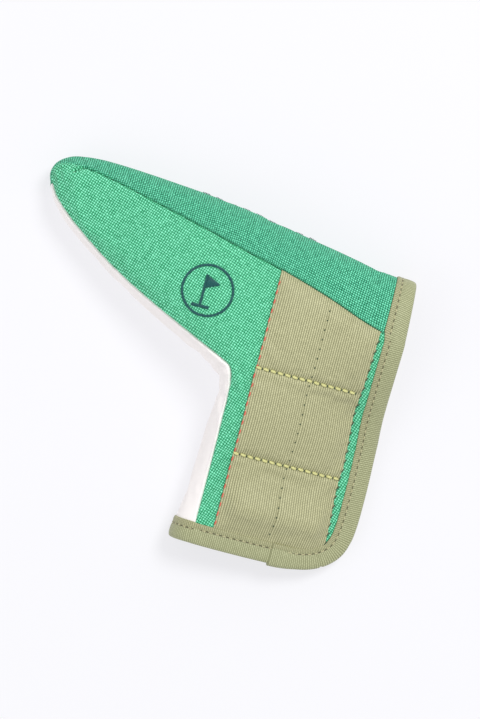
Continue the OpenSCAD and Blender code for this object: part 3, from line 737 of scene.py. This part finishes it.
def puff(points, outward, pins, pressure, cap):
    """Lets a sheet of cloth swell under pressure between its pinned seams. Returns how far each
    point moves outwards, held within cap."""
    ni, nj = points.shape[:2]
    cross, flip = faces_away(points, outward)
    obj = add_object("sheet", points.reshape(-1, 3), grid_faces(ni, nj, 0, flip))
    group = obj.vertex_groups.new(name="pins")
    levels = np.round(pins.reshape(-1), 2)
    for level in np.unique(levels[levels > 0]):
        group.add(np.flatnonzero(levels == level).tolist(), float(level), "REPLACE")
    cloth = obj.modifiers.new("Cloth", "CLOTH")
    for key, value in {
            "quality": 6, "mass": 0.3, "tension_stiffness": 18.0, "compression_stiffness": 18.0,
            "shear_stiffness": 9.0, "bending_stiffness": 1.2, "vertex_group_mass": "pins",
            "pin_stiffness": 4, "use_pressure": True, "uniform_pressure_force": pressure,
            "shrink_min": -0.012}.items():
        setattr(cloth.settings, key, value)
    cloth.settings.effector_weights.gravity = 0
    cloth.collision_settings.use_collision = False
    for times in (scene, cloth.point_cache):
        times.frame_start, times.frame_end = 1, SIM_FRAMES
    for f in range(1, SIM_FRAMES + 1):
        scene.frame_set(f)
    deps = bpy.context.evaluated_depsgraph_get()
    shape = obj.evaluated_get(deps).to_mesh()
    co = np.empty(len(shape.vertices) * 3)
    shape.vertices.foreach_get("co", co)
    moved = co.reshape(ni, nj, 3) / MM - points
    out = (moved * unit(cross) * (-1 if flip else 1)).sum(-1)
    scene.frame_set(1)
    mesh = obj.data
    bpy.data.objects.remove(obj)
    bpy.data.meshes.remove(mesh)
    return cap * np.tanh(out / cap)


def run_front_puff():
    p = panel_grid(top_seam, front_seam, flap_side, np.linspace(0.02, 1, 76),
                   np.linspace(0, 1, 45)[1:], 24)
    d = np.minimum(from_line(p, front_seam_samples), from_line(p, top_seam_samples))
    x, y = xy(p)
    edge = from_line(p, sampled(mouth_edge, 90))
    inside = (x > webbing_x0 - 1) & (x < right_x(y) + 1)
    held = [np.clip(bell(d, 0.8) * 1.4, 0, 1), smooth((tape_w + 1.0 - edge) / 2)]
    held += [np.where(inside, 0.8 * bell(y - row, 1.6), 0) for row in tack_rows]
    held += [np.where(y < top, 0.5 * bell(x - at, 1.2), 0)
             for at, top in ((webbing_x0, 47), (webbing_mid, 47), (right_x(y), 40))]
    pins = np.maximum.reduce(held)
    pins[0, :] = pins[:, 0] = pins[:, -1] = pins[-1, :] = 1
    values = puff(front_at(p, 0.0), (0, 0, 1), pins, FRONT_PRESSURE, FRONT_CAP).reshape(-1)
    tree = KDTree(len(values))
    for i, (qx, qy) in enumerate(p.reshape(-1, 2)):
        tree.insert((qx, qy, 0), i)
    tree.balance()
    low, data = lift_map["low"], np.zeros_like(lift_map["data"])
    for i, j in np.ndindex(data.shape):
        near = tree.find_n((low[0] + i, low[1] + j, 0), 5)
        w = np.array([1 / (0.15 + d) ** 2 for _, _, d in near])
        data[i, j] = (w * values[[k for _, k, _ in near]]).sum() / w.sum()
    lift_map["data"] = data


def run_gusset_puff(g, u, t, outward, tape_share, cap):
    """How far a gusset puffs at the places u along it and t across it."""
    n_along, n_across = 84, 26
    uu = u.ravel()
    su = np.linspace(uu[0], uu[-1], n_along)[:, None]
    st = np.linspace(0.0, 2.0, n_across)[None, :]
    pts = g.p(su, st)
    pins = np.zeros(pts.shape[:2])
    pins[:, 0] = pins[:, -1] = pins[0, :] = 1
    pins = np.maximum(pins, smooth((su - 1 + 1.3 * tape_share) / (0.2 * tape_share)))
    out = puff(pts, outward, pins, GUSSET_PRESSURE, cap) * smooth((1 - 1.1 * tape_share - su) / tape_share)
    return bilinear(out, np.interp(u, su.ravel(), np.arange(n_along)),
                    np.interp(t, st.ravel(), np.arange(n_across)))


sole_lift = np.zeros((len(sole_u), sole_t.shape[1]))
top_lift = np.zeros((len(top_u), top_t.shape[1]))
run_front_puff()
sole_lift = run_gusset_puff(sole, sole_u, sole_t, (0, 1, 0), tape_w * SOLE_END, SOLE_CAP)
top_lift = run_gusset_puff(topside, top_u, top_t, (-0.6, -0.7, 0), tape_w * NECK_END, TOPLINE_CAP)


# ---------------- outer panels
def seam_profile(d, lip=0.12):
    """How a panel's surface runs down into a seam, with the raised lip beside it."""
    return -0.8 * bell(d, 0.34) + lip * bell(d - 1.0, 0.62)


def cord_profile(d, fade):
    """The sole's side of the seam: a narrow round lip, then a faint ridge over the turned edge."""
    lip = 0.85 * bell(d - 0.75, 0.5) - 0.5 * bell(d, 0.22)
    ridge = 0.2 * smooth((3.1 - d) / 0.5) * smooth((d - 1.1) / 0.5)
    return (lip + ridge) * fade


hook = sampled(pattern([[-68.8, 71.8], [-70.6, 72.1], [-72.2, 71.9], [-74.0, 70.4], [-75.9, 68.9]]), 30)
pucker = sampled(pattern([[-75.9, 68.9], [-78.6, 69.6], [-81.4, 69.2], [-84.3, 69.1]]), 20)


def toe_fade(p):
    """How much of the sole's seam shows: it is turned under at the toe."""
    return 0.12 + 0.88 * smooth((p[..., 0] + 75.5) / 6)


def clear_of_tape(d):
    """Nothing stands up from the cloth where the tape lies on it."""
    return smooth((d - tape_w + 0.4) / 2.5)


def toe_folds(p):
    x, y = xy(p)
    d, e = from_line(p, hook), from_line(p, pucker)
    side = y - np.interp(x, hook[::-1, 0], hook[::-1, 1])
    lip = 0.6 * bell(d - 0.9, 0.5) * smooth((side + 0.4) / 0.6)
    folds = 0.16 * np.sin((x + 0.55 * y) * 1.7) * bell(np.hypot(x + 81, y - 66), 5.5)
    return -1.25 * bell(d, 0.42) + lip - 0.5 * bell(e, 0.5) + 0.25 * bell(e - 1.2, 0.7) + folds


d_sole_seam = from_line(front_p, front_seam_samples)
d_side_seam = from_line(front_p, top_seam_samples)
d_edge = from_line(front_p, sampled(mouth_edge, 100))
front_off = seam_profile(d_sole_seam) * toe_fade(front_p) + seam_profile(d_side_seam, 0.2)
front_off = front_off * clear_of_tape(d_edge) + toe_folds(front_p)
front_outer = front_at(front_p, front_off)
front_inner = front_at(front_p, np.minimum(front_off - 0.3, -fabric_t))
finish(slab("front_shell", front_outer, front_inner, turned(front_p), (0, 0, 1)),
       front_fabric, "panel_fabric", "front_panel", "flap_panel", fill=0.6)


def gusset_shell(name, g, u, t, lift, outward, look, slot, node):
    base = g.p(u, t)
    run = arc(base, 1)
    middle = np.argmin(np.abs(t.ravel() - 1))
    along = arc(base[:, middle][:, None], 0)
    near = cord_profile(run, toe_fade(base)) if g is sole else seam_profile(run, 0.2)
    shown = smooth(run[:, -1:] / 14) * clear_of_tape((1 - u) / (SOLE_END if g is sole else NECK_END))
    off = (near + seam_profile(run[:, -1:] - run, 0.15)) * shown + lift
    outer = g.at(u, t, off)
    cloth_run = arc(outer, 1)
    uv = np.stack([np.broadcast_to(along, run.shape), cloth_run - cloth_run[:, middle][:, None]], -1)
    inner = g.at(u, t, np.minimum(off - 0.3, -fabric_t + lift))
    finish(slab(name, outer, inner, uv, outward), look, slot, node, body=COVER, fill=0.6)


top_along = arc(topside.p(top_u, np.ones((1, 1))), 0)
top_across = arc(topside.p(top_u, top_t), 1)
from_turn = top_along - top_along[np.argmin(np.abs(top_u - ARM_SHARE))]
wrinkles = 0.34 * np.sin(from_turn * 0.95 + 1.3 * np.sin(top_across * 0.24)) * bell(from_turn, 10)
wrinkles = wrinkles + 0.22 * np.sin(from_turn * 0.41 + 0.2 * top_across) * bell(from_turn + 14, 16)
top_lift = top_lift + wrinkles * smooth(top_across / 4) * smooth((top_across[:, -1:] - top_across) / 4)

gusset_shell("sole_shell", sole, sole_u, sole_t, sole_lift, (0, 1, 0.2), sole_fabric,
             "sole_fabric", "sole_gusset")
gusset_shell("topline_shell", topside, top_u, top_t, top_lift, (-0.6, -0.7, 0.1),
             gusset_cloth, "gusset_fabric", "topline_gusset")

back_p = panel_grid(low_seam, back_seam, back_side, arm_rows, neck_rows, 44)
back_seams = [sampled(low_seam, 120), sampled(back_seam, 110)]
back_off = sum(seam_profile(from_line(back_p, s), 0.0) * 0.8 for s in back_seams)
back_outer = back_at(back_p, np.maximum(back_off, -0.8))
back_inner = back_at(back_p, np.minimum(back_off - 0.3, -fabric_t))
finish(slab("back_shell", back_outer, back_inner, turned(back_p), (0, 0, -1)),
       front_fabric, "panel_fabric", "back_panel", body=COVER, fill=0.5)


# ---------------- foam and lining
def panel_padding(name, side_seam, far_seam, side_line, place, up, nodes, body):
    """Foam behind the front or back panel. It ends short of the tape round the mouth."""
    ua, un = np.linspace(0.07, 1, 60), np.linspace(0, 0.8, 34)[1:]
    a = np.vstack([curve(side_seam[:TURN + 1], ua), curve(side_seam[TURN:], un)])
    b = np.vstack([curve(far_seam, ua * 0.985), inset(side_line, np.maximum(un, 0.004), tape_w + 5.2)])
    d = unit(b - a)
    a, b = a + 0.6 * d, b - 0.6 * d
    p = mix(a[:, None], b[:, None], np.linspace(0, 1, 40)[None, :, None])
    foam = slab(name, place(p, -foam_at - 0.15), place(p, -foam_at - foam_t), p, (0, 0, up))
    finish(foam, foam_mat, "foam", *nodes, body=body, fill=0.8)


panel_padding("front_padding", top_seam, front_seam, flap_side, front_at, 1,
              ("front_foam", "flap_foam"), None)
panel_padding("back_padding", low_seam, back_seam, back_side, back_at, -1, ("back_foam",), COVER)


def pocket_box(where, row):
    """The box in plan of a magnet's pocket, in millimetres."""
    return (np.array(corner[:2]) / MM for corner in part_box(f"{where}_pocket_{row}"))


def over_pockets(p, where):
    """How much of a sheet lies over a magnet's pocket: 1 on it and close round it."""
    share = np.zeros(p.shape[:-1])
    for row in ("upper", "lower"):
        lo, hi = pocket_box(where, row)
        away = np.linalg.norm(np.maximum(np.maximum(lo - p, p - hi), 0), axis=-1)
        share = np.maximum(share, smooth((2.7 - away) / 1.5))
    return share


def lining_sheet(name, p, place, nodes, body, outward):
    edge = from_line(p, sampled(mouth_edge, 100))
    deep = mix(stack_t - lining_t, lining_at, smooth((edge - tape_w + 1.5) / 6))
    deep = mix(deep, lining_at, over_pockets(p, "back" if body else "flap"))
    ripple = 0.12 * np.sin(p[..., 0] * 0.35) * np.sin(p[..., 1] * 0.31)
    obj = slab(name, place(p, -deep + ripple), place(p, -deep - lining_t + ripple), p, outward)
    finish(obj, lining_look, "lining", *nodes, body=body)


liner_rows = (np.linspace(0.07, 1, 80), np.linspace(0, 1, 51)[1:])
front_lp = panel_grid(top_seam, front_seam, flap_side, *liner_rows, 30)
back_lp = panel_grid(low_seam, back_seam, back_side, *liner_rows, 30)
lining_sheet("front_liner", front_lp, front_at, ("front_lining", "flap_lining"), None, (0, 0, 1))
lining_sheet("back_liner", back_lp, back_at, ("back_lining",), COVER, (0, 0, -1))


def gusset_layer(name, g, near, far, end, look, slot, node, outward, fill=None):
    """Foam (with a fill) at a constant depth, or lining that rises to meet the tape."""
    u, t = np.linspace(0.08, end, 90)[:, None], np.linspace(0.03, 1.97, 30)[None, :]
    edge = from_line(g.xy(*np.broadcast_arrays(u, t)), sampled(mouth_edge, 60))
    pull = 1.0 if fill else smooth((edge - tape_w + 1.5) / 6)
    d0 = mix(stack_t - lining_t, near, pull)
    uv = np.stack(np.broadcast_arrays(u * 160, t * 20), -1)
    obj = slab(name, g.at(u, t, -d0), g.at(u, t, -d0 - (far - near)), uv, outward)
    finish(obj, look, slot, node, body=COVER, fill=fill)


for name, g, end, out in (("sole", sole, 0.934, (0, 1, 0)),
                          ("topline", topside, 0.895, (-0.6, -0.7, 0))):
    gusset_layer(name + "_padding", g, foam_at + 0.15, foam_at + foam_t, end, foam_mat,
                 "foam", name + "_foam", out, 0.8)
    gusset_layer(name + "_liner", g, lining_at, lining_at + lining_t, 0.998, lining_look,
                 "lining", name + "_lining", out)


# ---------------- webbing
seam_top = front_seam_samples[front_seam_samples[:, 0] > 0]


def seam_y(x):
    return np.interp(x, seam_top[:, 0], seam_top[:, 1])


def low_y(x):
    return -76.27 + tape_w - 0.5 + np.where(x > 66, ((x - 66) / 10) ** 2 * 6, 0)


def web_puff(p):
    """Height of the webbing's face above the front."""
    x, y = xy(p)
    x1 = right_x(y)
    rows = sum(0.45 * bell(y - r, 1.1) + 0.35 * bell(y - r, 3.5) for r in tack_rows)
    mids = 0.1 * bell(x - webbing_mid, 0.7)
    cell = np.prod([1 - bell(y - r, 9) for r in tack_rows], axis=0)
    sides = smooth((x - webbing_x0) / 8) * smooth((x1 - x) / 8)
    foot = 3.0 * bell(y + 55, 7)
    belly = (cell + foot) * sides * smooth((y - low_y(x)) / 10) * smooth((seam_y(x) - y) / 8)
    ends = 0.75 * bell(np.maximum(y - low_y(x), 0), 2.6)
    ends = ends + 0.85 * bell(np.maximum(seam_y(x) - y, 0), 1.3)
    return 1.05 + belly - rows - mids - ends


def web_strip(x0, x1, name, nodes, wave):
    """One tape of the webbing, with rounded edges. x1 is a function of y, and wave is for the
    outer strip, whose right edge is pulled in by each stitch."""
    s = np.linspace(0, 1, 230)[:, None]
    c = np.r_[0, 0.004, 0.012, 0.025, np.linspace(0.045, 0.955, 46), 0.975, 0.988, 0.996, 1][None, :]
    y_guess = mix(46.0, -68.0, s)
    for _ in range(4):
        x = mix(x0, x1(y_guess), c)
        y_guess = mix(seam_y(x) - 0.1, low_y(x), s)
    y = y_guess
    x = mix(x0, x1(y), c)
    if wave:
        x = x + smooth((c - 0.9) / 0.1) * 0.13 * np.sin(y * 2 * math.pi / 4.2)
    p = np.stack([x, y], -1)
    width = x1(y) - x0
    open_side, joined_side = c * width, (1 - c) * width
    if wave:
        open_side, joined_side = joined_side, open_side
    edge = np.minimum(roll(np.minimum(open_side / 0.55, 1.0)),
                      0.88 + 0.12 * roll(np.minimum(joined_side / 0.3, 1.0)))
    outer = front_at(p, 0.06 + (web_puff(p) - 0.06) * (0.35 + 0.65 * edge))
    obj = slab(name, outer, front_at(p, 0.04), p, (0, 0, 1))
    finish(obj, webbing_look, "webbing", *nodes)


web_strip(webbing_x0, lambda y: webbing_mid + 0.1 + 0 * y, "webbing_strip_left",
          ("webbing_left", "flap_webbing_left"), False)
web_strip(webbing_mid + 0.1, right_x, "webbing_strip_right",
          ("webbing_right", "flap_webbing_right"), True)


def on_web(p, off):
    return front_at(p, web_puff(p) + off)


UP = np.array([0.0, 0.0, 1.0])


def threads_laid(name, ends, place, lift, radii, look, slot, nodes, body=None, **shape):
    """Short threads from ends[:, 0] to ends[:, 1], lifted off the surface along their length."""
    ends = np.asarray(ends, float)
    p = mix(ends[:, None, 0], ends[:, None, 1], np.linspace(0, 1, len(lift))[None, :, None])
    v, f, uv = tube_data(place(p, np.broadcast_to(lift, p.shape[:-1])), radii, UP, **shape)
    finish(add_object(name, v, f, uv, sharp=80), look, slot, *nodes, body=body)


def stitches(name, ends, off, radius, arch, *finishing):
    """Stitches over the webbing: thin at both ends, and arched."""
    t = np.linspace(0, 1, 7)
    lift = off + arch * (np.sin(math.pi * t) ** 0.5 - 0.6)
    radii = radius * (0.35 + 0.65 * np.sin(math.pi * np.clip(t, 0.02, 0.98)) ** 0.4)
    threads_laid(name, ends, on_web, lift, radii, *finishing, flat=0.8)


tacks = [(x, row) for row in tack_rows
         for x in np.arange(webbing_x0 + 1.3, float(right_x(row)) - 1.0, tack_pitch)]
ends = []
for x, row in tacks:
    y = row + rng.normal(0, 0.06)
    ends.append([[x - 1.22, y + 0.2], [x + 1.22, y - 0.16]])
stitches("tack_threads", ends, 0.34, 0.62, 0.5, tack_look, "tack_thread",
         ("tack_stitches", "flap_tack_stitches"))

# Dark marks at the stitches, painted shade: pinholes down the join in the middle of the webbing, slots
# beside the tack stitches, and the shadow under the stitched right edge.
ends = []
for y in np.arange(-64.0, 46.0, 4.25):
    if y < seam_y(webbing_mid) - 3:
        ends.append([[webbing_mid + 0.02, y - 0.3], [webbing_mid + 0.18, y + 0.3]])
ends += [[[x + 1.6, row - 0.75], [x + 1.75, row + 0.45]] for x, row in tacks]
for y in np.arange(-62.0, 38.0, 4.2):
    x = float(right_x(y)) - 0.2
    if y < seam_y(x) - 2:
        ends.append([[x - 0.45, y - 1.2], [x + 0.65, y + 0.9]])
stitches("edge_stitch_shade", ends, 0.02, 0.3, 0.1, stitch_shade_look, "dark_thread",
         ("edge_stitches", "flap_edge_stitches"))

ends = []
for y in np.arange(-65.0, 48.0, 4.2):
    if y < seam_y(webbing_x0) - 1.5:
        j = rng.normal(0, 0.08)
        ends.append([[webbing_x0 + 0.25 + j, y - 1.15], [webbing_x0 + 0.45 + j, y + 1.15]])
stitches("coral_yarn", ends, -0.15, 0.36, 0.3, coral_look, "edge_yarn", ("edge_yarn", "flap_edge_yarn"))

# ---------------- binding
# The tape's section, as distance in from the mouth's edge and height over the cloth: the outside
# from the front round to the back, then the inside.
OUTSIDE_POINTS, MIDDLE_POINT = 28, 14
SECTION = np.array([
    [8.6, 0.1], [8.68, 0.35], [8.55, 0.62], [8.2, 0.78], [7.4, 0.84], [6.7, 0.76], [6.3, 0.6],
    [6.1, 0.56], [5.9, 0.6], [5.5, 0.76], [4.6, 0.9], [3.2, 0.95], [1.8, 0.92], [0.7, 0.8], [-0.1, 0.55],
    [-0.6, 0.12], [-0.88, -0.4], [-0.95, -0.85], [-0.88, -1.3], [-0.6, -1.82], [-0.1, -2.22],
    [0.7, -2.42], [2, -2.48], [4, -2.48], [6.1, -2.3], [8, -2.46], [8.6, -2.2], [8.6, -1.85],
    [6, -1.78], [3, -1.76], [0.4, -1.7], [-0.1, -0.85], [0.4, 0.05], [3, 0.08], [6, 0.08], [8.4, 0.07]])


def run_sections(f, params, squeeze=1.0, bulk=0.0):
    """Lays the tape's section along a run: f(param, inward, outward) gives points. bulk is how much
    fuller the tape is at each place, where it is doubled."""
    n, m = len(params), len(SECTION)
    bulk = np.broadcast_to(bulk, (n,))[:, None]
    q = np.broadcast_to(SECTION[:, 0], (n, m))
    y = np.broadcast_to(SECTION[:, 1], (n, m))
    outside = (np.arange(m) < OUTSIDE_POINTS)[None, :]
    y = np.where(y > 0.05, y * squeeze + 0.45 * bulk * smooth((y - 0.05) / 0.5) * outside, y)
    q = np.where((q < 0.9) & outside, q - 0.95 * bulk, q)
    prm = np.asarray(params)[:, None]
    pts = f(prm, np.maximum(q, 0), y)
    zero = np.zeros((n, m))
    step = f(prm, zero + 1.0, zero) - f(prm, zero, zero)
    return pts + step * np.minimum(q, 0)[..., None]


def tape_mesh(sections, start=0.0):
    """The tape as one closed tube, with both ends shut. start sets its weave apart."""
    n, m = sections.shape[:2]
    idx, faces = ring_faces(1, n, m)
    along = arc(sections[:, :1] * 0.5 + sections[:, MIDDLE_POINT:MIDDLE_POINT + 1] * 0.5, 0)
    around = np.r_[0, np.cumsum(np.linalg.norm(np.diff(SECTION, axis=0), axis=1))]
    uv = np.stack(np.broadcast_arrays(along + start, around[None, :]), -1)
    for at_end, row in enumerate(idx[0, [0, -1]]):
        for i in range(m // 2 - 1):
            quad = [row[i], row[i + 1], row[m - 2 - i], row[m - 1 - i]]
            faces.append(quad if at_end else quad[::-1])
    return sections.reshape(-1, 3), faces, uv.reshape(-1, 2)


def along_rim(line, place):
    def at(u, q, off):
        u, q, off = np.broadcast_arrays(u, q, off)
        return place(inset(line, u, q), off)
    return at


def along_end(g, share):
    return lambda t, q, off: g.at(0.9995 - q * share, t, off)


# The four runs of the tape: each gives the place at a parameter, a distance in and a height.
flap_edge = mouth_edge[EDGE_TURN:]
front_edge, back_rim = along_rim(flap_edge, front_at), along_rim(mouth_edge[1:], back_at)
sole_end, neck_end = along_end(sole, SOLE_END), along_end(topside, NECK_END)


def edge_u_at(x):
    u = np.linspace(0.5, 1, 2000)
    return float(u[np.argmin(np.abs(curve(flap_edge, u)[:, 0] - x))])


lap_u, crease_u = edge_u_at(51.5), edge_u_at(75.0)
heel_u = np.linspace(0.004, lap_u, 330)
run_a = np.concatenate([
    run_sections(sole_end, np.linspace(1.0, 0.03, 34)),
    run_sections(front_edge, heel_u, bulk=smooth((heel_u - lap_u + 0.09) / 0.085)
                 - 0.5 * bell(heel_u - crease_u, 0.005)),
])
run_b = np.concatenate([
    run_sections(front_edge, np.linspace(lap_u - 0.02, 0.996, 60), bulk=-0.12),
    run_sections(neck_end, np.linspace(0.04, 1.0, 30), bulk=-0.12),
])
v, f, t = joined([tape_mesh(run_a), tape_mesh(run_b, 200)])
finish(add_object("binding_front", v, f, t, sharp=50), tape_look, "binding_tape", "flap_binding")
back_run = np.concatenate([
    run_sections(neck_end, np.linspace(1.0, 1.9, 26)),
    run_sections(back_rim, np.linspace(0.985, 0.01, 180), squeeze=0.86),
    run_sections(sole_end, np.linspace(1.9, 1.0, 26)),
])
binding_back = add_object("binding_back", *tape_mesh(back_run, 400), sharp=50)
finish(binding_back, tape_look, "binding_tape", "edge_binding", body=COVER)


def along_run(at, run, values):
    return np.stack([np.interp(at, run, values[:, i]) for i in range(3)], -1)


def tape_stitches(name, runs, node, body=None):
    """The tape's stitches, and a dark bead of painted shade where the needle went in at each end of each
    one.
    """
    paths, ups, shade_beads, shade_bead_ups = [], [], [], []
    for fn, first, last, squeeze in runs:
        prm = np.linspace(first, last, 1200)
        q = np.full(prm.shape, tape_w - 2.5)
        line = fn(prm, q, np.full(prm.shape, 0.52 * squeeze))
        high = fn(prm, q, np.full(prm.shape, 1.52))
        run = arc(line[:, None], 0).ravel()
        for s in np.arange(0.8, run[-1] - 0.8, TAPE_STITCH_PITCH):
            at = s + np.linspace(-0.95, 0.95, 7)
            c, up = along_run(at, run, line), unit(along_run(at, run, high - line))
            arch = 0.22 * np.sin(np.linspace(0, math.pi, 7)) ** 0.6
            paths.append(c + up * arch[:, None] * squeeze)
            ups.append(up)
            # The dark beads at both ends of each stitch are painted shade for the needle holes.
            for end in (0, -1):
                way = unit(c[end] - c[3]) * np.array([-0.1, 0.25, 0.6])[:, None]
                shade_beads.append(c[end] + way + up[end] * 0.12 * squeeze)
                shade_bead_ups.append(np.broadcast_to(up[end], (3, 3)))
    thread_r, shade_bead_r = 0.26 * np.array([0.4, 0.85, 1, 1, 1, 0.85, 0.4]), 0.3 * np.array([0.7, 1, 0.6])
    threads = tube_data(np.array(paths), thread_r, np.array(ups), sides=6)
    v, f, t = tube_data(np.array(shade_beads), shade_bead_r, np.array(shade_bead_ups), sides=6, flat=0.5)
    v, f, t = joined([threads, (v, f, t + np.array([0, 5]))])
    finish(add_object(name, v, f, t, sharp=80), tape_thread_look, "tape_thread", node, body=body)


tape_stitches("binding_threads_front", [
    (sole_end, 1.0, 0.03, 1), (front_edge, 0.004, 0.996, 1), (neck_end, 0.04, 1.0, 1)],
    "flap_binding_stitches")
tape_stitches("binding_threads_back", [
    (neck_end, 1.0, 1.9, 1), (back_rim, 0.985, 0.01, 0.6), (sole_end, 1.9, 1.0, 1)],
    "binding_stitches", COVER)


# ---------------- embroidery
def satin(name, ends, place, radius, arch, k, nodes):
    """Embroidery: a thread of k points between each pair of ends."""
    lift = 0.16 + arch * np.sin(math.pi * np.linspace(0, 1, k)) ** 0.7
    radii = radius * np.array([0.6] + [1] * (k - 2) + [0.6])
    threads_laid(name, ends, place, lift, radii, emblem_look, "emblem_thread", nodes, COVER, sides=6)


threads = []
RING_THREADS, LEAN = 170, 0.03
for i in range(RING_THREADS):
    a = 2 * math.pi * i / RING_THREADS
    d0, d1 = (np.array([math.cos(b), math.sin(b)]) for b in (a - LEAN, a + LEAN))
    j = rng.normal(0, 0.05, 2)
    threads.append([ring_at + (ring_r - 0.8 * ring_w + j[0]) * d0, ring_at + (ring_r - 0.1 + j[1]) * d1])
pole = ring_at + np.array([-2.2, -6.4])
for y in np.arange(0.0, 13.0, 0.4):
    threads.append([pole + [0.0, y], pole + [1.15, y + 0.12]])
for x in np.arange(1.3, 6.7, 0.4):
    s = (x - 1.3) / 5.3
    threads.append([pole + [x, mix(7.2, 9.6, s)], pole + [x + 0.1, mix(12.8, 10.4, s)]])
for x in np.arange(-3.2, 4.6, 0.4):
    threads.append([pole + [x, -1.65], pole + [x + 0.15, -0.25]])
satin("emblem_threads", threads, front_at, 0.23, 0.3, 5, ("emblem_embroidery",))


def on_sole(p, off):
    """On the puffed sole: p holds the places along and across it."""
    i = np.interp(p[..., 0], sole_u.ravel(), np.arange(len(sole_u)))
    j = np.interp(p[..., 1], sole_t.ravel(), np.arange(sole_t.shape[1]))
    lift = sole_lift[np.round(i).astype(int), np.round(j).astype(int)]
    return sole.at(p[..., 0], p[..., 1], off + lift)


# Nine plain bars in a row along the sole.
threads = []
for u in 0.585 + np.arange(9) * 0.0245:
    for du in np.arange(0, 0.0112, 0.0026):
        threads.append([[u + du, 0.955], [u + du + 0.0008, 1.36]])
satin("sole_threads", threads, on_sole, 0.25, 0.32, 9, ("sole_embroidery",))


# ---------------- closure, hidden between the layers
for where in ("back", "flap"):
    for row in ("upper", "lower"):
        dress(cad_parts[f"{where}_magnet_{row}"], magnet_mat)
        lo, hi = pocket_box(where, row)
        x, y = np.linspace(lo[0], hi[0], 24), np.linspace(lo[1], hi[1], 24)
        p = np.stack(np.meshgrid(x, y, indexing="ij"), -1)
        rim = np.minimum(p - lo, hi - p).min(-1)
        bulge = 0.12 * smooth(rim / 1.5)
        place, z = (back_at, -1) if where == "back" else (front_at, 1)
        top, low = place(p, -pocket_at), place(p, -pocket_at - pocket_t + 0.1 - bulge)
        obj = slab(f"{where}_magnet_pocket_{row}", top, low, p, (0, 0, z))
        finish(obj, pocket_mat, "pocket_fabric", f"{where}_pocket_{row}",
               body=COVER if where == "back" else FLAP)

# ---------------- studio
floor_look = Look("floor_paper", (0.93, 0.93, 0.95), 0.9, Emission_Color=(0.97, 0.965, 1, 1),
                  Emission_Strength=0.69)
grain = floor_look.noise(floor_look.place(), 3.0, 2.0)
paper = floor_look.shade((0.25, 0.25, 0.255), grain, 0.3, 0.7, 0.3, (0.245, 0.245, 0.25))
FLOOR_HALF, FLOOR_GAP = 3.0, 0.0002
corners = np.array([[-1, -1, 0], [1, -1, 0], [1, 1, 0], [-1, 1, 0]]) * FLOOR_HALF
floor = add_object("floor", corners / MM, [[0, 1, 2, 3]])
floor.data.materials.append(floor_look.done(paper))
floor.location.z = cad_box[0][2] - FLOOR_GAP

world = bpy.data.worlds.new("studio")
world.use_nodes = True
sky = world.node_tree.nodes["Background"].inputs
sky["Color"].default_value = (0.97, 0.975, 1, 1)
sky["Strength"].default_value = 0.62
scene.world = world


def softbox(name, at, size, power):
    light = bpy.data.lights.new(name, "AREA")
    light.shape, light.size, light.energy = "DISK", size, power
    obj = link(name, light)
    obj.location = at
    obj.rotation_euler = (-Vector(at)).to_track_quat("-Z", "Y").to_euler()


softbox("key", (0.45, 0.75, 1.4), 0.6, 15.5)
softbox("fill", (-0.9, -0.8, 0.9), 1.2, 4.0)

camera = link("camera", bpy.data.cameras.new("camera"))
# It looks straight down from distance, and sees view_high along the longer side of the picture.
distance, view_high, sensor = 1.3, 0.320, 36
camera.location = (0.0164, 0.0074, 0.015 + distance)
camera.rotation_euler = (0, 0, math.radians(14.9))
camera.data.sensor_width = sensor
camera.data.lens = sensor * distance / view_high
scene.camera = camera
scene.view_settings.view_transform = "Standard"
